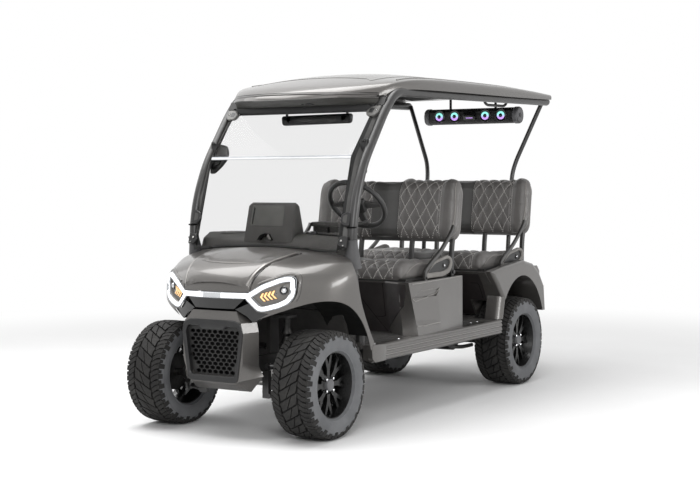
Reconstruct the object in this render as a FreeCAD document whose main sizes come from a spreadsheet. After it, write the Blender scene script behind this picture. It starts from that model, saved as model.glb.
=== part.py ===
import FreeCAD, Part
import math
import os
import Sketcher
from FreeCAD import Matrix, Placement, Rotation, Vector

# Four-seat golf cart on lifted all-terrain wheels.
# Millimetres. +X is the driver's side, +Y points to the rear and +Z up.
# Pieces are drawn about the middle of the wheelbase. Each is then moved along Y, so that
# the origin is on the ground under the middle of the overall length.

doc = FreeCAD.newDocument("golf_cart")
sheet = doc.addObject("Spreadsheet::Sheet", "dims")

DIMENSIONS = (
    ("wheelbase", 2324, "axle to axle"),
    ("track_half", 494, "centre plane to the middle of a tyre"),
    ("tyre_radius", 292, "23 inch tyre, out to the tips of its lugs"),
    ("tyre_width", 250, "overall width of a tyre"),
    ("lug_count", 36, "lugs round a tyre, on both sides together"),
    ("lug_depth", 13, "height of a lug over its grooves"),
    ("bead_radius", 180, "where the tyre sits on its rim"),
    ("rim_width", 196, "overall width of a rim"),
    ("rim_wall", 7, "barrel wall of a rim"),
    ("hub_radius", 58, "hub disc of a rim"),
    ("cap_radius", 31, "centre cap of a rim"),
    ("spoke_count", 8, "forked spokes of a rim"),
    ("spoke_width", 26, "width of a spoke at its root"),
    ("spoke_depth", 22, "thickness of a spoke"),
    ("disc_face", 62, "outer face of the spokes from the tyre's middle plane"),
    ("arm_low", -73, "lower wishbones, from the axle's height"),
    ("arm_high", 92, "upper wishbones, from the axle's height"),
    ("arm_low_reach", 84, "lower wishbone, axle to each pivot along the cart"),
    ("arm_high_reach", 100, "upper wishbone, axle to each pivot along the cart"),
    ("arm_radius", 10, "bar of a wishbone"),
    ("arm_pivot", 14, "pivot boss of a wishbone"),
    ("ball_radius", 19, "ball joint of a wishbone"),
    ("ball_height", 34, "height of a ball joint"),
    ("spring_radius", 33, "coil of a front spring"),
    ("tower_height", 640, "underside of a spring tower's cap"),
    ("axle_radius", 36, "rear axle tube"),
    ("kingpin_x", 380, "centre plane to a kingpin"),
    ("upright_half", 17, "half the width of an upright"),
    ("spindle_radius", 19, "spindle of a front wheel"),
    ("steer_arm_drop", 30, "steering arm below the axle"),
    ("steer_eye", 15, "eye of a steering arm"),
    ("steer_eye_in", 6, "eye of a steering arm inside the kingpin"),
    ("steer_arm_back", 118, "steering arm's pin behind the front axle"),
    ("running_gap", 6, "clearance between pieces that move past each other"),
    ("panel_gap", 4, "gap between neighbouring body panels"),
    ("seat_gap", 0.3, "gap under a piece that only rests on another"),
    ("deck_top", 462, "floor height"),
    ("deck_thickness", 22, "floor board"),
    ("deck_half", 532, "half the width of the floor board"),
    ("deck_front", -800, "front edge of the floor board"),
    ("toe_lean", 62, "toe board, how far its top leans forwards"),
    ("toe_rise", 200, "toe board, height over the floor"),
    ("toe_half", 465, "half the width of the toe board"),
    ("mat_wall", 4, "floor mat"),
    ("mat_margin", 85, "floor mat, from the board's front edge"),
    ("deck_rear", 985, "rear edge of the floor board"),
    ("rail_inner", 168, "centre plane to the inner side of a frame rail"),
    ("rail_width", 50, "frame rail, across"),
    ("rail_depth", 84, "frame rail, up and down"),
    ("rail_front", -1352, "front end of the frame rails"),
    ("rail_rear", 1476, "rear end of the frame rails"),
    ("outrigger_width", 46, "cross-member, along the cart"),
    ("outrigger_depth", 58, "cross-member, up and down"),
    ("tow_hole_radius", 6.5, "holes of the rear cross-member"),
    ("tow_hole_spacing", 200, "between the two holes of the rear cross-member"),
    ("rocker_bottom", 366, "lower edge of a rocker panel"),
    ("rocker_front", -772, "front end of a rocker panel"),
    ("rocker_rear", 842, "rear end of a rocker panel"),
    ("panel_wall", 5, "moulded body panel"),
    ("nose_radius", 702, "plan radius of the nose"),
    ("nose_centre_y", -748, "centre of the nose's plan radius"),
    ("body_half", 602, "centre plane to the side of the body"),
    ("well_inner", 350, "centre plane to the inner wall of a rear wheel well"),
    ("cowl_rear", -930, "rear edge of the cowl, at the windshield's foot"),
    ("cowl_height", 1008, "top of the cowl at its middle"),
    ("arch_reach", 386, "front wheel arch, half its length"),
    ("arch_rise", 446, "front wheel arch, height over the axle"),
    ("rear_arch_reach", 352, "rear wheel arch, half its length"),
    ("rear_arch_rise", 438, "rear wheel arch, height over the axle"),
    ("pillar_radius", 27, "tube of the canopy frame"),
    ("strut_radius", 15, "tube of a rear strut"),
    ("roof_half", 602, "centre plane to the side edge of the roof"),
    ("roof_front", -880, "front edge of the roof at its middle"),
    ("roof_rear", 1690, "rear edge of the roof"),
    ("roof_edge", 1928, "side edge of the roof"),
    ("roof_crown", 2036, "top of the roof"),
    ("roof_wall", 12, "roof shell"),
    ("glass_wall", 6, "windshield pane"),
    ("glass_foot_y", -954, "foot of the windshield, along the cart"),
    ("glass_foot_z", 1013, "foot of the windshield at its middle, height"),
    ("glass_half", 500, "half the width of the windshield at its foot"),
    ("seat_half", 503, "half the width of a seat"),
    ("cushion_depth", 114, "thickness of a seat cushion"),
    ("cushion_length", 545, "seat cushion, front to back"),
    ("seat_pitch", 1025, "front seat to rear seat"),
    ("seat_front_y", -248, "front edge of the front seat cushion"),
    ("back_height", 352, "height of a seat back"),
    ("back_wall", 96, "thickness of a seat back"),
    ("back_foot", 1022, "lower edge of a seat back"),
    ("back_rake", 9, "lean of a seat back in degrees"),
    ("board_wall", 14, "board under a seat cushion"),
    ("pod_top", 776, "top of the seat pod"),
    ("pod_half", 548, "half the width of the seat pod"),
    ("pod_front", -262, "front of the seat pod"),
    ("pod_rear", 404, "rear of the seat pod"),
    ("wheel_x", 262, "steering wheel, from the centre plane"),
    ("wheel_y", -392, "steering wheel's centre, along the cart"),
    ("wheel_z", 1236, "steering wheel's centre height"),
    ("wheel_radius", 178, "steering wheel, to the middle of its grip"),
    ("grip_radius", 13, "steering wheel's grip"),
    ("column_radius", 26, "steering column"),
    ("column_length", 420, "steering wheel's centre to the column's foot"),
    ("dash_top", 1082, "top of the dashboard"),
    ("dash_level", 985, "dashboard, height of its front and rear edges"),
    ("dash_low", 815, "underside of the dashboard"),
    ("display_height", 172, "top of the display over the dashboard"),
    ("column_angle", 42, "steering column from level, in degrees"),
    ("lamp_depth", 34, "depth of a headlamp"),
    ("band_low", 757, "lower edge of the light band"),
    ("band_high", 787, "upper edge of the light band"),
    ("bumper_face", -1446, "front face of the bumper"),
    ("grille_wall", 9, "thickness of the grille"),
    ("grille_set", 22, "grille behind the bumper's front face"),
    ("cell_width", 31, "across a grille cell"),
    ("cell_height", 18, "between rows of grille cells, without the web"),
    ("cell_web", 7, "web between grille cells"),
    ("bar_width", 740, "length of the sound bar"),
    ("bar_height", 112, "height of the sound bar"),
    ("speaker_radius", 42, "one speaker of the sound bar"),
)

for row, (alias, value, meaning) in enumerate(DIMENSIONS, start=1):
    sheet.set("A%d" % row, alias)
    sheet.set("B%d" % row, str(value))
    sheet.set("C%d" % row, meaning)
    sheet.setAlias("B%d" % row, alias)
doc.recompute()


class SheetValues:
    """Reads a driving dimension by its alias."""

    def __getattr__(self, alias):
        return float(sheet.get(alias))


d = SheetValues()
nodes = []
placed = []

X_AXIS = Vector(1, 0, 0)
Y_AXIS = Vector(0, 1, 0)
Z_AXIS = Vector(0, 0, 1)
FRONT_AXLE = Vector(0, -d.wheelbase / 2, d.tyre_radius)
REAR_AXLE = Vector(0, d.wheelbase / 2, d.tyre_radius)
FAR = 3000
SHIFT = "(dims.wheelbase / 2 + dims.tyre_radius - dims.roof_rear) / 2"


def keep(obj, name):
    """Labels an object as a sub-part that is written out."""
    obj.Label = name
    nodes.append(obj)
    return obj


def shaped(name, shape):
    """A sub-part whose shape comes from the functions below."""
    obj = doc.addObject("Part::Feature", name)
    obj.Shape = shape.removeSplitter()
    obj.Placement = Placement()
    return keep(obj, name)


def block(name, x, y, z):
    """A box between two corners, each side a pair of expressions."""
    box = doc.addObject("Part::Box", name)
    for prop, axis, (low, high) in zip(("Length", "Width", "Height"), "xyz", (x, y, z)):
        box.setExpression(prop, "(%s) - (%s)" % (high, low))
        box.setExpression("Placement.Base." + axis, low)
    return box


def rod_object(name, radius, length, base, direction):
    """A cylinder whose radius, length and base are expressions."""
    rod = doc.addObject("Part::Cylinder", name)
    rod.Placement = Placement(Vector(), Rotation(Z_AXIS, direction))
    rod.setExpression("Radius", radius)
    rod.setExpression("Height", length)
    for axis, expression in zip("xyz", base):
        rod.setExpression("Placement.Base." + axis, expression)
    return rod


def mirrored(obj):
    """The same object on the other side of the centre plane."""
    other = doc.addObject("Part::Mirroring", obj.Name + "_mirrored")
    other.Source = obj
    other.Normal = X_AXIS
    other.Base = Vector()
    return other


def joined(name, objects):
    """Touching solids of one piece, as one solid."""
    fuse = doc.addObject("Part::MultiFuse", name)
    fuse.Shapes = objects
    fuse.Refine = True
    return fuse


def grouped(name, objects):
    """Like pieces of one body that don't touch, as one node."""
    group = doc.addObject("Part::Compound", name)
    group.Links = objects
    return group


def cut(name, base, tool):
    """The base without the tool."""
    result = doc.addObject("Part::Cut", name)
    result.Base = base
    result.Tool = tool
    return result


def body_plane(body, role):
    """One of a body's own origin planes."""
    return [item for item in body.Origin.OriginFeatures if item.Role == role][0]


def new_sketch(body, name, role, offset="0"):
    """A sketch on one of the body's origin planes, moved along its normal."""
    sketch = body.newObject("Sketcher::SketchObject", name)
    sketch.AttachmentSupport = [(body_plane(body, role), "")]
    sketch.MapMode = "FlatFace"
    sketch.setExpression("AttachmentOffset.Base.z", offset)
    return sketch


def pin_point(sketch, edge, end, point):
    """Holds one end of an edge at two expressions, measured from the sketch's origin."""
    for kind, expression in zip(("DistanceX", "DistanceY"), point):
        number = sketch.addConstraint(Sketcher.Constraint(kind, -1, 1, edge, end, 1.0))
        sketch.setExpression("Constraints[%d]" % number, expression)


def draw_outline(sketch, points):
    """A closed outline of straight edges through points given as pairs of expressions."""
    places = []
    for point in points:
        values = [float(sheet.evalExpression(item.replace("dims.", ""))) for item in point]
        places.append(Vector(values[0], values[1], 0))
    first = sketch.GeometryCount
    for start, end in zip(places, places[1:] + places[:1]):
        sketch.addGeometry(Part.LineSegment(start, end), False)
    last = first + len(points)
    for edge in range(first, last):
        following = edge + 1 if edge + 1 < last else first
        sketch.addConstraint(Sketcher.Constraint("Coincident", edge, 2, following, 1))
    for edge, point in zip(range(first, last), points):
        pin_point(sketch, edge, 1, point)


def new_body(name):
    return doc.addObject("PartDesign::Body", name)


def padded(body, name, sketch, length, both_ways=False, backwards=False):
    """Material along the sketch's normal."""
    pad = body.newObject("PartDesign::Pad", name)
    pad.Profile = sketch
    pad.setExpression("Length", length)
    pad.Midplane = both_ways
    pad.Reversed = backwards
    return pad


def pocketed(body, name, sketch, depth=None, both_ways=False, backwards=False):
    """A cut along the sketch's normal, through everything if no depth is given."""
    pocket = body.newObject("PartDesign::Pocket", name)
    pocket.Profile = sketch
    if depth is None:
        pocket.Type = "ThroughAll"
    else:
        pocket.setExpression("Length", depth)
    pocket.Midplane = both_ways
    pocket.Reversed = backwards
    return pocket


def turned(body, name, sketch):
    """A revolution about the sketch's vertical axis."""
    revolution = body.newObject("PartDesign::Revolution", name)
    revolution.Profile = sketch
    revolution.ReferenceAxis = (sketch, ["V_Axis"])
    revolution.Angle = 360
    return revolution


def pair(shape):
    """A shape and its mirror image."""
    return [shape, shape.mirror(Vector(), X_AXIS)]


def both_sides(shape):
    """A shape and its mirror image as one compound."""
    return Part.makeCompound(pair(shape))


def largest(shape):
    """The biggest solid of a shape."""
    return max(shape.Solids, key=lambda solid: solid.Volume)


def fused(shapes):
    """Touching shapes as one solid."""
    return shapes[0].multiFuse(list(shapes[1:])).removeSplitter()


def rod(start, end, radius):
    """A round bar between two points."""
    return Part.makeCylinder(radius, (end - start).Length, start, end - start)


def slab(corner_low, corner_high):
    """A box between two corners."""
    span = corner_high - corner_low
    return Part.makeBox(span.x, span.y, span.z, corner_low)


def polygon_face(points):
    return Part.Face(Part.makePolygon(list(points) + [points[0]]))


def side_prism(points, x_low, x_high):
    """An outline of (y, z) pairs extruded across the cart."""
    face = polygon_face([Vector(x_low, y, z) for y, z in points])
    return face.extrude(Vector(x_high - x_low, 0, 0))


def front_prism(points, y_low, y_high):
    """An outline of (x, z) pairs extruded along the cart."""
    face = polygon_face([Vector(x, y_low, z) for x, z in points])
    return face.extrude(Vector(0, y_high - y_low, 0))


def plan_prism(points, z_low, z_high):
    """An outline of (x, y) pairs extruded upwards."""
    face = polygon_face([Vector(x, y, z_low) for x, y in points])
    return face.extrude(Vector(0, 0, z_high - z_low))


def tube(points, radius):
    """A round bar of straight runs joined by tangent arcs as large as the runs allow."""
    pieces = []
    here = points[0]
    for before, corner, after in zip(points, points[1:], points[2:]):
        into = (corner - before).normalize()
        out = (after - corner).normalize()
        turn = into.getAngle(out)
        setback = 0.45 * min((corner - before).Length, (after - corner).Length)
        start = corner - into * setback
        bend = setback / math.tan(turn / 2)
        inward = (out - into * into.dot(out)).normalize()
        disc = Part.Face(Part.Wire(Part.Circle(start, into, radius).toShape()))
        pieces.append(rod(here, start, radius))
        pieces.append(disc.revolve(start + inward * bend, into.cross(out), math.degrees(turn)))
        here = corner + out * setback
    pieces.append(rod(here, points[-1], radius))
    return fused(pieces)


def smooth_surface(poles):
    """A quadratic B-spline surface that is drawn towards a net of points."""
    degree = 2

    def knots(count):
        spans = count - degree
        return [float(i) for i in range(spans + 1)], [3] + [1] * (spans - 1) + [3]

    u_knots, u_repeats = knots(len(poles))
    v_knots, v_repeats = knots(len(poles[0]))
    surface = Part.BSplineSurface()
    surface.buildFromPolesMultsKnots(
        poles, u_repeats, v_repeats, u_knots, v_knots, False, False, degree, degree
    )
    return surface


def net_normal(poles, i, j):
    """The outward direction of a net of points at one of them."""
    last_i = len(poles) - 1
    last_j = len(poles[0]) - 1
    along_u = poles[min(i + 1, last_i)][j] - poles[max(i - 1, 0)][j]
    along_v = poles[i][min(j + 1, last_j)] - poles[i][max(j - 1, 0)]
    return along_v.cross(along_u).normalize()


def skin(poles, wall, sink=0.0):
    """A moulded panel shaped by a net of points, with its wall on the inner side."""
    layers = []
    for depth in (sink, sink + wall):
        layer = []
        for i, row in enumerate(poles):
            layer.append([point - net_normal(poles, i, j) * depth for j, point in enumerate(row)])
        layers.append(smooth_surface(layer).toShape())
    outer_face, inner_face = layers
    faces = [outer_face, inner_face]
    for outer_edge, inner_edge in zip(outer_face.Edges, inner_face.Edges):
        faces.append(Part.makeRuledSurface(outer_edge, inner_edge))
    shell = Part.makeShell(faces)
    shell.sewShape()
    solid = Part.makeSolid(Part.Shell(shell.Faces))
    if solid.Volume < 0:
        solid.reverse()
    return solid


def full_width(half_rows):
    """Completes rows that start at the centre plane with their mirror image."""
    rows = []
    for half in half_rows:
        left = [Vector(-point.x, point.y, point.z) for point in reversed(half[1:])]
        rows.append(left + list(half))
    return rows


def nose_y(x):
    """The nose's plan curve."""
    return d.nose_centre_y - math.sqrt(d.nose_radius ** 2 - x ** 2)


# Frame rails, cross-members and outriggers


def wishbone(level, reach):
    """Two arms from a frame rail to a ball joint on the kingpin's axis."""
    axle = FRONT_AXLE
    z = axle.z + level
    rail_side = d.rail_inner + d.rail_width
    pivot_x = rail_side + d.arm_pivot + d.seat_gap
    ball = Vector(d.kingpin_x, axle.y, z)
    ball_low = Vector(ball.x, ball.y, z - d.ball_height / 2)
    pieces = [Part.makeCylinder(d.ball_radius, d.ball_height, ball_low, Z_AXIS)]
    for side in (-1, 1):
        pivot = Vector(pivot_x, axle.y + side * reach, z)
        half = Vector(0, d.arm_pivot, 0)
        pieces.append(rod(pivot, ball, d.arm_radius))
        pieces.append(rod(pivot - half, pivot + half, d.arm_pivot))
    return fused(pieces)


def side_frame(low, high):
    """Along and rearward directions of a pane seen from the side, as (y, z) pairs."""
    length = math.hypot(high[0] - low[0], high[1] - low[1])
    along_way = ((high[0] - low[0]) / length, (high[1] - low[1]) / length)
    return along_way, (along_way[1], -along_way[0])


def under_roof(roof, x, y, radius):
    """Height just under the roof for an upright bar at a place."""
    levels = []
    for angle in range(0, 360, 45):
        turn = math.radians(angle)
        point = Vector(x + radius * math.cos(turn), y + radius * math.sin(turn), 0)
        line = Part.makeLine(point, point + Vector(0, 0, FAR))
        levels.append(min(vertex.Z for vertex in line.common(roof).Vertexes))
    return min(levels) - d.seat_gap


def rear_arch(radius_gap, x_low, x_high):
    """The room of a rear wheel, widened by a gap."""
    ellipse = Part.Ellipse(
        Vector(), d.rear_arch_rise + radius_gap, d.rear_arch_reach + radius_gap
    ).toShape()
    face = Part.Face(Part.Wire(ellipse))
    face.Placement = Placement(Vector(x_low, REAR_AXLE.y, REAR_AXLE.z), Rotation(Z_AXIS, X_AXIS))
    return face.extrude(Vector(x_high - x_low, 0, 0))


def make_frame():
    rail_top = "dims.deck_top - dims.deck_thickness"
    rail_low = rail_top + " - dims.rail_depth"
    arm_low = rail_top + " - dims.outrigger_depth"
    rail = block(
        "rail",
        ("dims.rail_inner", "dims.rail_inner + dims.rail_width"),
        ("dims.rail_front", "dims.rail_rear"),
        (rail_low, rail_top),
    )
    pieces = [rail, mirrored(rail)]
    places = (
        ("outrigger_front", "-dims.deck_half", "dims.deck_half", "dims.rocker_front + 40"),
        ("outrigger_middle", "-dims.deck_half", "dims.deck_half", "0"),
        ("outrigger_rear", "-dims.deck_half", "dims.deck_half", "dims.rocker_rear - 90"),
        ("cross_rear", "-dims.rail_inner", "dims.rail_inner", "dims.wheelbase / 2 - 240"),
        (
            "cross_tow",
            "-dims.rail_inner",
            "dims.rail_inner",
            "dims.rail_rear - dims.outrigger_width",
        ),
    )
    for name, x_low, x_high, y in places:
        pieces.append(
            block(name, (x_low, x_high), (y, y + " + dims.outrigger_width"), (arm_low, rail_top))
        )
    whole = joined("frame_members", pieces)
    holes = []
    for side, name in ((1, "left"), (-1, "right")):
        holes.append(
            rod_object(
                "tow_hole_" + name,
                "dims.tow_hole_radius",
                "dims.outrigger_depth + 20",
                (
                    "%d * dims.tow_hole_spacing / 2" % side,
                    "dims.rail_rear - dims.outrigger_width / 2",
                    arm_low + " - 10",
                ),
                Z_AXIS,
            )
        )
    keep(cut("main_frame", whole, joined("tow_holes", holes)), "main_frame")
    between = []
    for name, y in (("nose", "dims.rail_front"), ("axle", "-dims.wheelbase / 2 + 130")):
        between.append(
            block(
                "cross_" + name,
                ("-dims.rail_inner", "dims.rail_inner"),
                (y, y + " + dims.outrigger_width"),
                (arm_low, rail_top),
            )
        )
    keep(grouped("front_cross_members", between), "front_cross_members")


def make_floor():
    """Floor board, with the middle of its front bent up as a toe board, and a mat in each footwell."""
    body = new_body("floor_deck")
    sketch = new_sketch(body, "deck_profile", "YZ_Plane")
    low = "dims.deck_top - dims.deck_thickness"
    draw_outline(
        sketch,
        [
            ("dims.deck_front", low),
            ("dims.deck_rear", low),
            ("dims.deck_rear", "dims.deck_top"),
            ("dims.deck_front + 10", "dims.deck_top"),
            ("dims.deck_front - dims.toe_lean", "dims.deck_top + dims.toe_rise"),
            (
                "dims.deck_front - dims.toe_lean - dims.deck_thickness",
                "dims.deck_top + dims.toe_rise - 6",
            ),
        ],
    )
    padded(body, "deck", sketch, "2 * dims.deck_half", both_ways=True)
    corners = new_sketch(body, "deck_corners", "XY_Plane", "dims.deck_top")
    for side in ("", "-"):
        draw_outline(
            corners,
            [
                (side + "dims.toe_half", "dims.deck_front - 200"),
                (side + "(dims.deck_half + 10)", "dims.deck_front - 200"),
                (side + "(dims.deck_half + 10)", "dims.deck_front + 4"),
                (side + "dims.toe_half", "dims.deck_front + 4"),
            ],
        )
        draw_outline(
            corners,
            [
                (side + "dims.well_inner", "dims.rocker_rear"),
                (side + "(dims.deck_half + 10)", "dims.rocker_rear"),
                (side + "(dims.deck_half + 10)", "dims.deck_rear + 10"),
                (side + "dims.well_inner", "dims.deck_rear + 10"),
            ],
        )
    pocketed(body, "deck_notches", corners, both_ways=True)
    mats = new_sketch(body, "mat_outlines", "XY_Plane", "dims.deck_top")
    for front, rear in (
        ("dims.deck_front + dims.mat_margin", "dims.pod_front - 53"),
        ("dims.pod_rear + 26", "dims.rocker_rear - dims.mat_margin"),
    ):
        draw_outline(
            mats,
            [
                ("-(dims.toe_half - 10)", front),
                ("dims.toe_half - 10", front),
                ("dims.toe_half - 10", rear),
                ("-(dims.toe_half - 10)", rear),
            ],
        )
    padded(body, "mats", mats, "dims.mat_wall")
    keep(body, "floor_deck")


def make_rockers():
    """Side sills with lengthwise grooves."""
    body = new_body("rocker")
    sketch = new_sketch(body, "rocker_profile", "XZ_Plane", "-dims.rocker_rear")
    inner = "dims.deck_half + dims.seat_gap"
    top = "(dims.deck_top - dims.seat_gap)"
    points = [
        (inner, "dims.rocker_bottom + 18"),
        ("dims.body_half - 16", "dims.rocker_bottom"),
        ("dims.body_half - 4", "dims.rocker_bottom + 8"),
    ]
    grooves = 3
    for groove in range(grooves):
        level = "dims.rocker_bottom + (" + top + " - dims.rocker_bottom) * %s"
        low = (groove + 0.7) / (grooves + 0.6)
        points.append(("dims.body_half", level % round(low - 0.08, 3)))
        points.append(("dims.body_half - 5", level % round(low, 3)))
        points.append(("dims.body_half - 5", level % round(low + 0.05, 3)))
        points.append(("dims.body_half", level % round(low + 0.09, 3)))
    points.append(("dims.body_half - 3", top + " - 6"))
    points.append(("dims.body_half - 12", top))
    points.append((inner, top))
    draw_outline(sketch, points)
    padded(body, "sill", sketch, "dims.rocker_rear - dims.rocker_front")
    keep(grouped("rocker_panels", [body, mirrored(body)]), "rocker_panels")


def make_battery():
    shift = " + " + SHIFT
    pack = block(
        "battery_block",
        ("-330", "330"),
        ("dims.pod_front + 150" + shift, "dims.pod_rear - 90" + shift),
        ("dims.deck_top", "dims.pod_top - 90"),
    )
    placed.append(keep(pack, "battery_pack"))


# Axles, suspension and steering gear


def coil_over(foot, head, radius):
    """A damper inside a spring, drawn as a stack of rings on a rod."""
    axis = head - foot
    length = axis.Length
    turns = 6
    start = length * 0.16
    pitch = length * 0.72 / turns
    damper = radius * 0.42
    points = [Vector(0, 0, 0), Vector(damper, 0, 0), Vector(damper, 0, start)]
    for turn in range(turns):
        level = start + turn * pitch
        points.append(Vector(radius, 0, level + pitch * 0.3))
        points.append(Vector(radius * 0.66, 0, level + pitch * 0.95))
    points.append(Vector(radius * 0.62, 0, length))
    points.append(Vector(0, 0, length))
    turned_solid = polygon_face(points).revolve(Vector(), Z_AXIS, 360)
    turned_solid.Placement = Placement(foot, Rotation(Z_AXIS, axis))
    return turned_solid


def make_suspension_nodes():
    """Two wishbones and a coil-over on each side, and the tower over each coil-over."""
    axle = FRONT_AXLE
    rail_side = d.rail_inner + d.rail_width
    rail_top = d.deck_top - d.deck_thickness
    rail_low = rail_top - d.rail_depth
    low_z = axle.z + d.arm_low
    foot_x = rail_side + 54
    head_x = rail_side + 74
    lower = [wishbone(d.arm_low, d.arm_low_reach)]
    for side in (-1, 1):
        y = axle.y + side * d.arm_low_reach
        lower.append(
            slab(
                Vector(rail_side - 26, y - d.arm_pivot, low_z - d.arm_pivot),
                Vector(rail_side + d.arm_pivot, y + d.arm_pivot, rail_low),
            )
        )
    seat_z = low_z + d.arm_radius + 2
    lower.append(
        slab(
            Vector(foot_x - 20, axle.y - d.arm_low_reach * 0.7, low_z - 6),
            Vector(foot_x + 20, axle.y + d.arm_low_reach * 0.7, seat_z),
        )
    )
    shapes = pair(fused(lower)) + pair(wishbone(d.arm_high, d.arm_high_reach))
    shaped("front_wishbones", Part.makeCompound(shapes))
    lean = (head_x - foot_x) / (d.tower_height - seat_z)
    tilt_room = d.seat_gap + d.spring_radius * 0.62 * lean
    foot = Vector(foot_x, axle.y, seat_z + tilt_room)
    head = Vector(head_x, axle.y, d.tower_height - tilt_room)
    shaped("front_springs", both_sides(coil_over(foot, head, d.spring_radius)))
    wall = 14
    plate = slab(
        Vector(rail_side - 36, axle.y - 42, rail_top),
        Vector(rail_side - 12, axle.y + 42, d.tower_height + wall),
    )
    cap = slab(
        Vector(rail_side - 36, axle.y - 42, d.tower_height),
        Vector(head_x + d.spring_radius, axle.y + 42, d.tower_height + wall),
    )
    shaped("spring_towers", both_sides(fused([plate, cap])))


def make_rear_axle():
    """Axle tube with its gear case and the electric motor beside it."""
    axle = REAR_AXLE
    half = d.track_half - d.tyre_width / 2 + 30
    hub = d.track_half + d.disc_face - d.spoke_depth - d.seat_gap
    beam = rod(Vector(-half, axle.y, axle.z), Vector(half, axle.y, axle.z), d.axle_radius)
    shafts = rod(Vector(-hub, axle.y, axle.z), Vector(hub, axle.y, axle.z), d.spindle_radius)
    case = rod(Vector(-70, axle.y, axle.z), Vector(70, axle.y, axle.z), 96)
    motor = rod(Vector(-30, axle.y + 40, axle.z + 10), Vector(-30, axle.y + 250, axle.z + 10), 86)
    drums = [
        rod(Vector(side * (half - 14), axle.y, axle.z), Vector(side * half, axle.y, axle.z), 66)
        for side in (-1, 1)
    ]
    shaped("rear_axle", fused([beam, shafts, case, motor] + drums))


def make_rear_springs():
    """A leaf spring on each side, hung from the frame rail at both ends."""
    axle = REAR_AXLE
    rail_side = d.rail_inner + d.rail_width
    x = rail_side + 72
    wall = 14
    width = 50
    camber = 22
    leaf_low = axle.z + d.axle_radius + d.seat_gap
    front = Vector(x, axle.y - 330, leaf_low + camber)
    rear = Vector(x, axle.y + 280, leaf_low + camber)
    middle = Vector(x, axle.y, leaf_low)
    thick = Vector(0, 0, wall)
    edges = [
        Part.Arc(front, middle, rear).toShape(),
        Part.Arc(front + thick, middle + thick, rear + thick).toShape(),
        Part.LineSegment(front, front + thick).toShape(),
        Part.LineSegment(rear, rear + thick).toShape(),
    ]
    side = Part.Face(Part.Wire(Part.__sortEdges__(edges)))
    leaf = side.extrude(Vector(width, 0, 0))
    leaf.translate(Vector(-width / 2, 0, 0))
    hangers = []
    for end in (front, rear):
        hangers.append(
            slab(
                Vector(rail_side, end.y - 16, end.z),
                Vector(x + width / 2, end.y + 16, d.deck_top - d.deck_thickness),
            )
        )
    shaped("rear_springs", both_sides(fused([leaf] + hangers)))


def make_knuckles():
    """Upright, spindle and steering arm of each front wheel, between its two ball joints."""
    axle = FRONT_AXLE
    x = d.kingpin_x
    low = axle.z + d.arm_low + d.ball_height / 2 + d.seat_gap
    high = axle.z + d.arm_high - d.ball_height / 2 - d.seat_gap
    arm_z = axle.z - d.steer_arm_drop
    upright = slab(
        Vector(x - d.upright_half, axle.y - 24, low), Vector(x + d.upright_half, axle.y + 24, high)
    )
    hub = rod(Vector(x, axle.y, axle.z), Vector(x + 30, axle.y, axle.z), 40)
    spindle = rod(
        Vector(x, axle.y, axle.z),
        Vector(d.track_half + d.disc_face - d.spoke_depth - d.seat_gap, axle.y, axle.z),
        d.spindle_radius,
    )
    arm = slab(
        Vector(x - d.upright_half, axle.y + 10, arm_z - 8),
        Vector(x + d.upright_half - 10, axle.y + d.steer_arm_back, arm_z + 8),
    )
    eye_foot = Vector(x - d.steer_eye_in, axle.y + d.steer_arm_back, arm_z - 8)
    eye = Part.makeCylinder(d.steer_eye, 16, eye_foot, Z_AXIS)
    left = fused([upright, hub, spindle, arm, eye])
    shaped("knuckle_left", left)
    shaped("knuckle_right", left.mirror(Vector(), X_AXIS))


def make_rack():
    """Steering rack: a fixed housing, and the bar that slides in it."""
    axle = FRONT_AXLE
    y = axle.y + d.steer_arm_back
    z = axle.z - d.steer_arm_drop
    housing_half = 118
    bar_radius = 11
    reach = d.kingpin_x - d.steer_eye_in - d.steer_eye - d.running_gap
    housing = rod(Vector(-housing_half, y, z), Vector(housing_half, y, z), 27)
    bore = rod(
        Vector(-housing_half - 5, y, z), Vector(housing_half + 5, y, z), bar_radius + d.seat_gap
    )
    cross_low = d.deck_top - d.deck_thickness - d.outrigger_depth
    feet = [
        slab(Vector(x - 15, y - 14, z + 15), Vector(x + 15, y + 14, cross_low))
        for x in (-85, 85)
    ]
    pinion = rod(Vector(44, y + 4, z), Vector(44, y + 40, z + 90), 16)
    shaped("steering_rack", fused([housing, pinion] + feet).cut(bore))
    shaped("tie_bar", rod(Vector(-reach, y, z), Vector(reach, y, z), bar_radius))


# Wheels


def tyre_profile():
    """A tyre's side from its bead to its shoulder, as (radius, distance from the middle plane)."""
    half = d.tyre_width / 2
    wall = d.tyre_radius - d.bead_radius
    return [
        (d.bead_radius, d.rim_width / 2 - 14),
        (d.bead_radius + 12, d.rim_width / 2 - 6),
        (d.bead_radius + 0.38 * wall, half),
        (d.bead_radius + 0.68 * wall, half - 3),
    ]


def tyre_sector_profile(lug_side):
    """Section through one sector: a shoulder lug on one side and a groove on the other."""
    half = d.tyre_width / 2
    top = d.tyre_radius
    rib = d.tyre_width * 0.14
    sides = []
    for side in (1, -1):
        wall = [(radius, side * place) for radius, place in tyre_profile()]
        if side == lug_side:
            crown = [(top - 16, side * (half - 4)), (top, side * (half - 26)), (top, side * rib)]
        else:
            depth = d.lug_depth
            crown = [
                (top - 16 - depth, side * (half - 9)),
                (top - depth, side * (half - 30)),
                (top - depth, side * rib),
            ]
        sides.append(wall + crown)
    first, second = sides
    centre = [(top, rib), (top, -rib)]
    profile = []
    for point in first + centre + list(reversed(second)):
        if not profile or point != profile[-1]:
            profile.append(point)
    return profile


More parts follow.
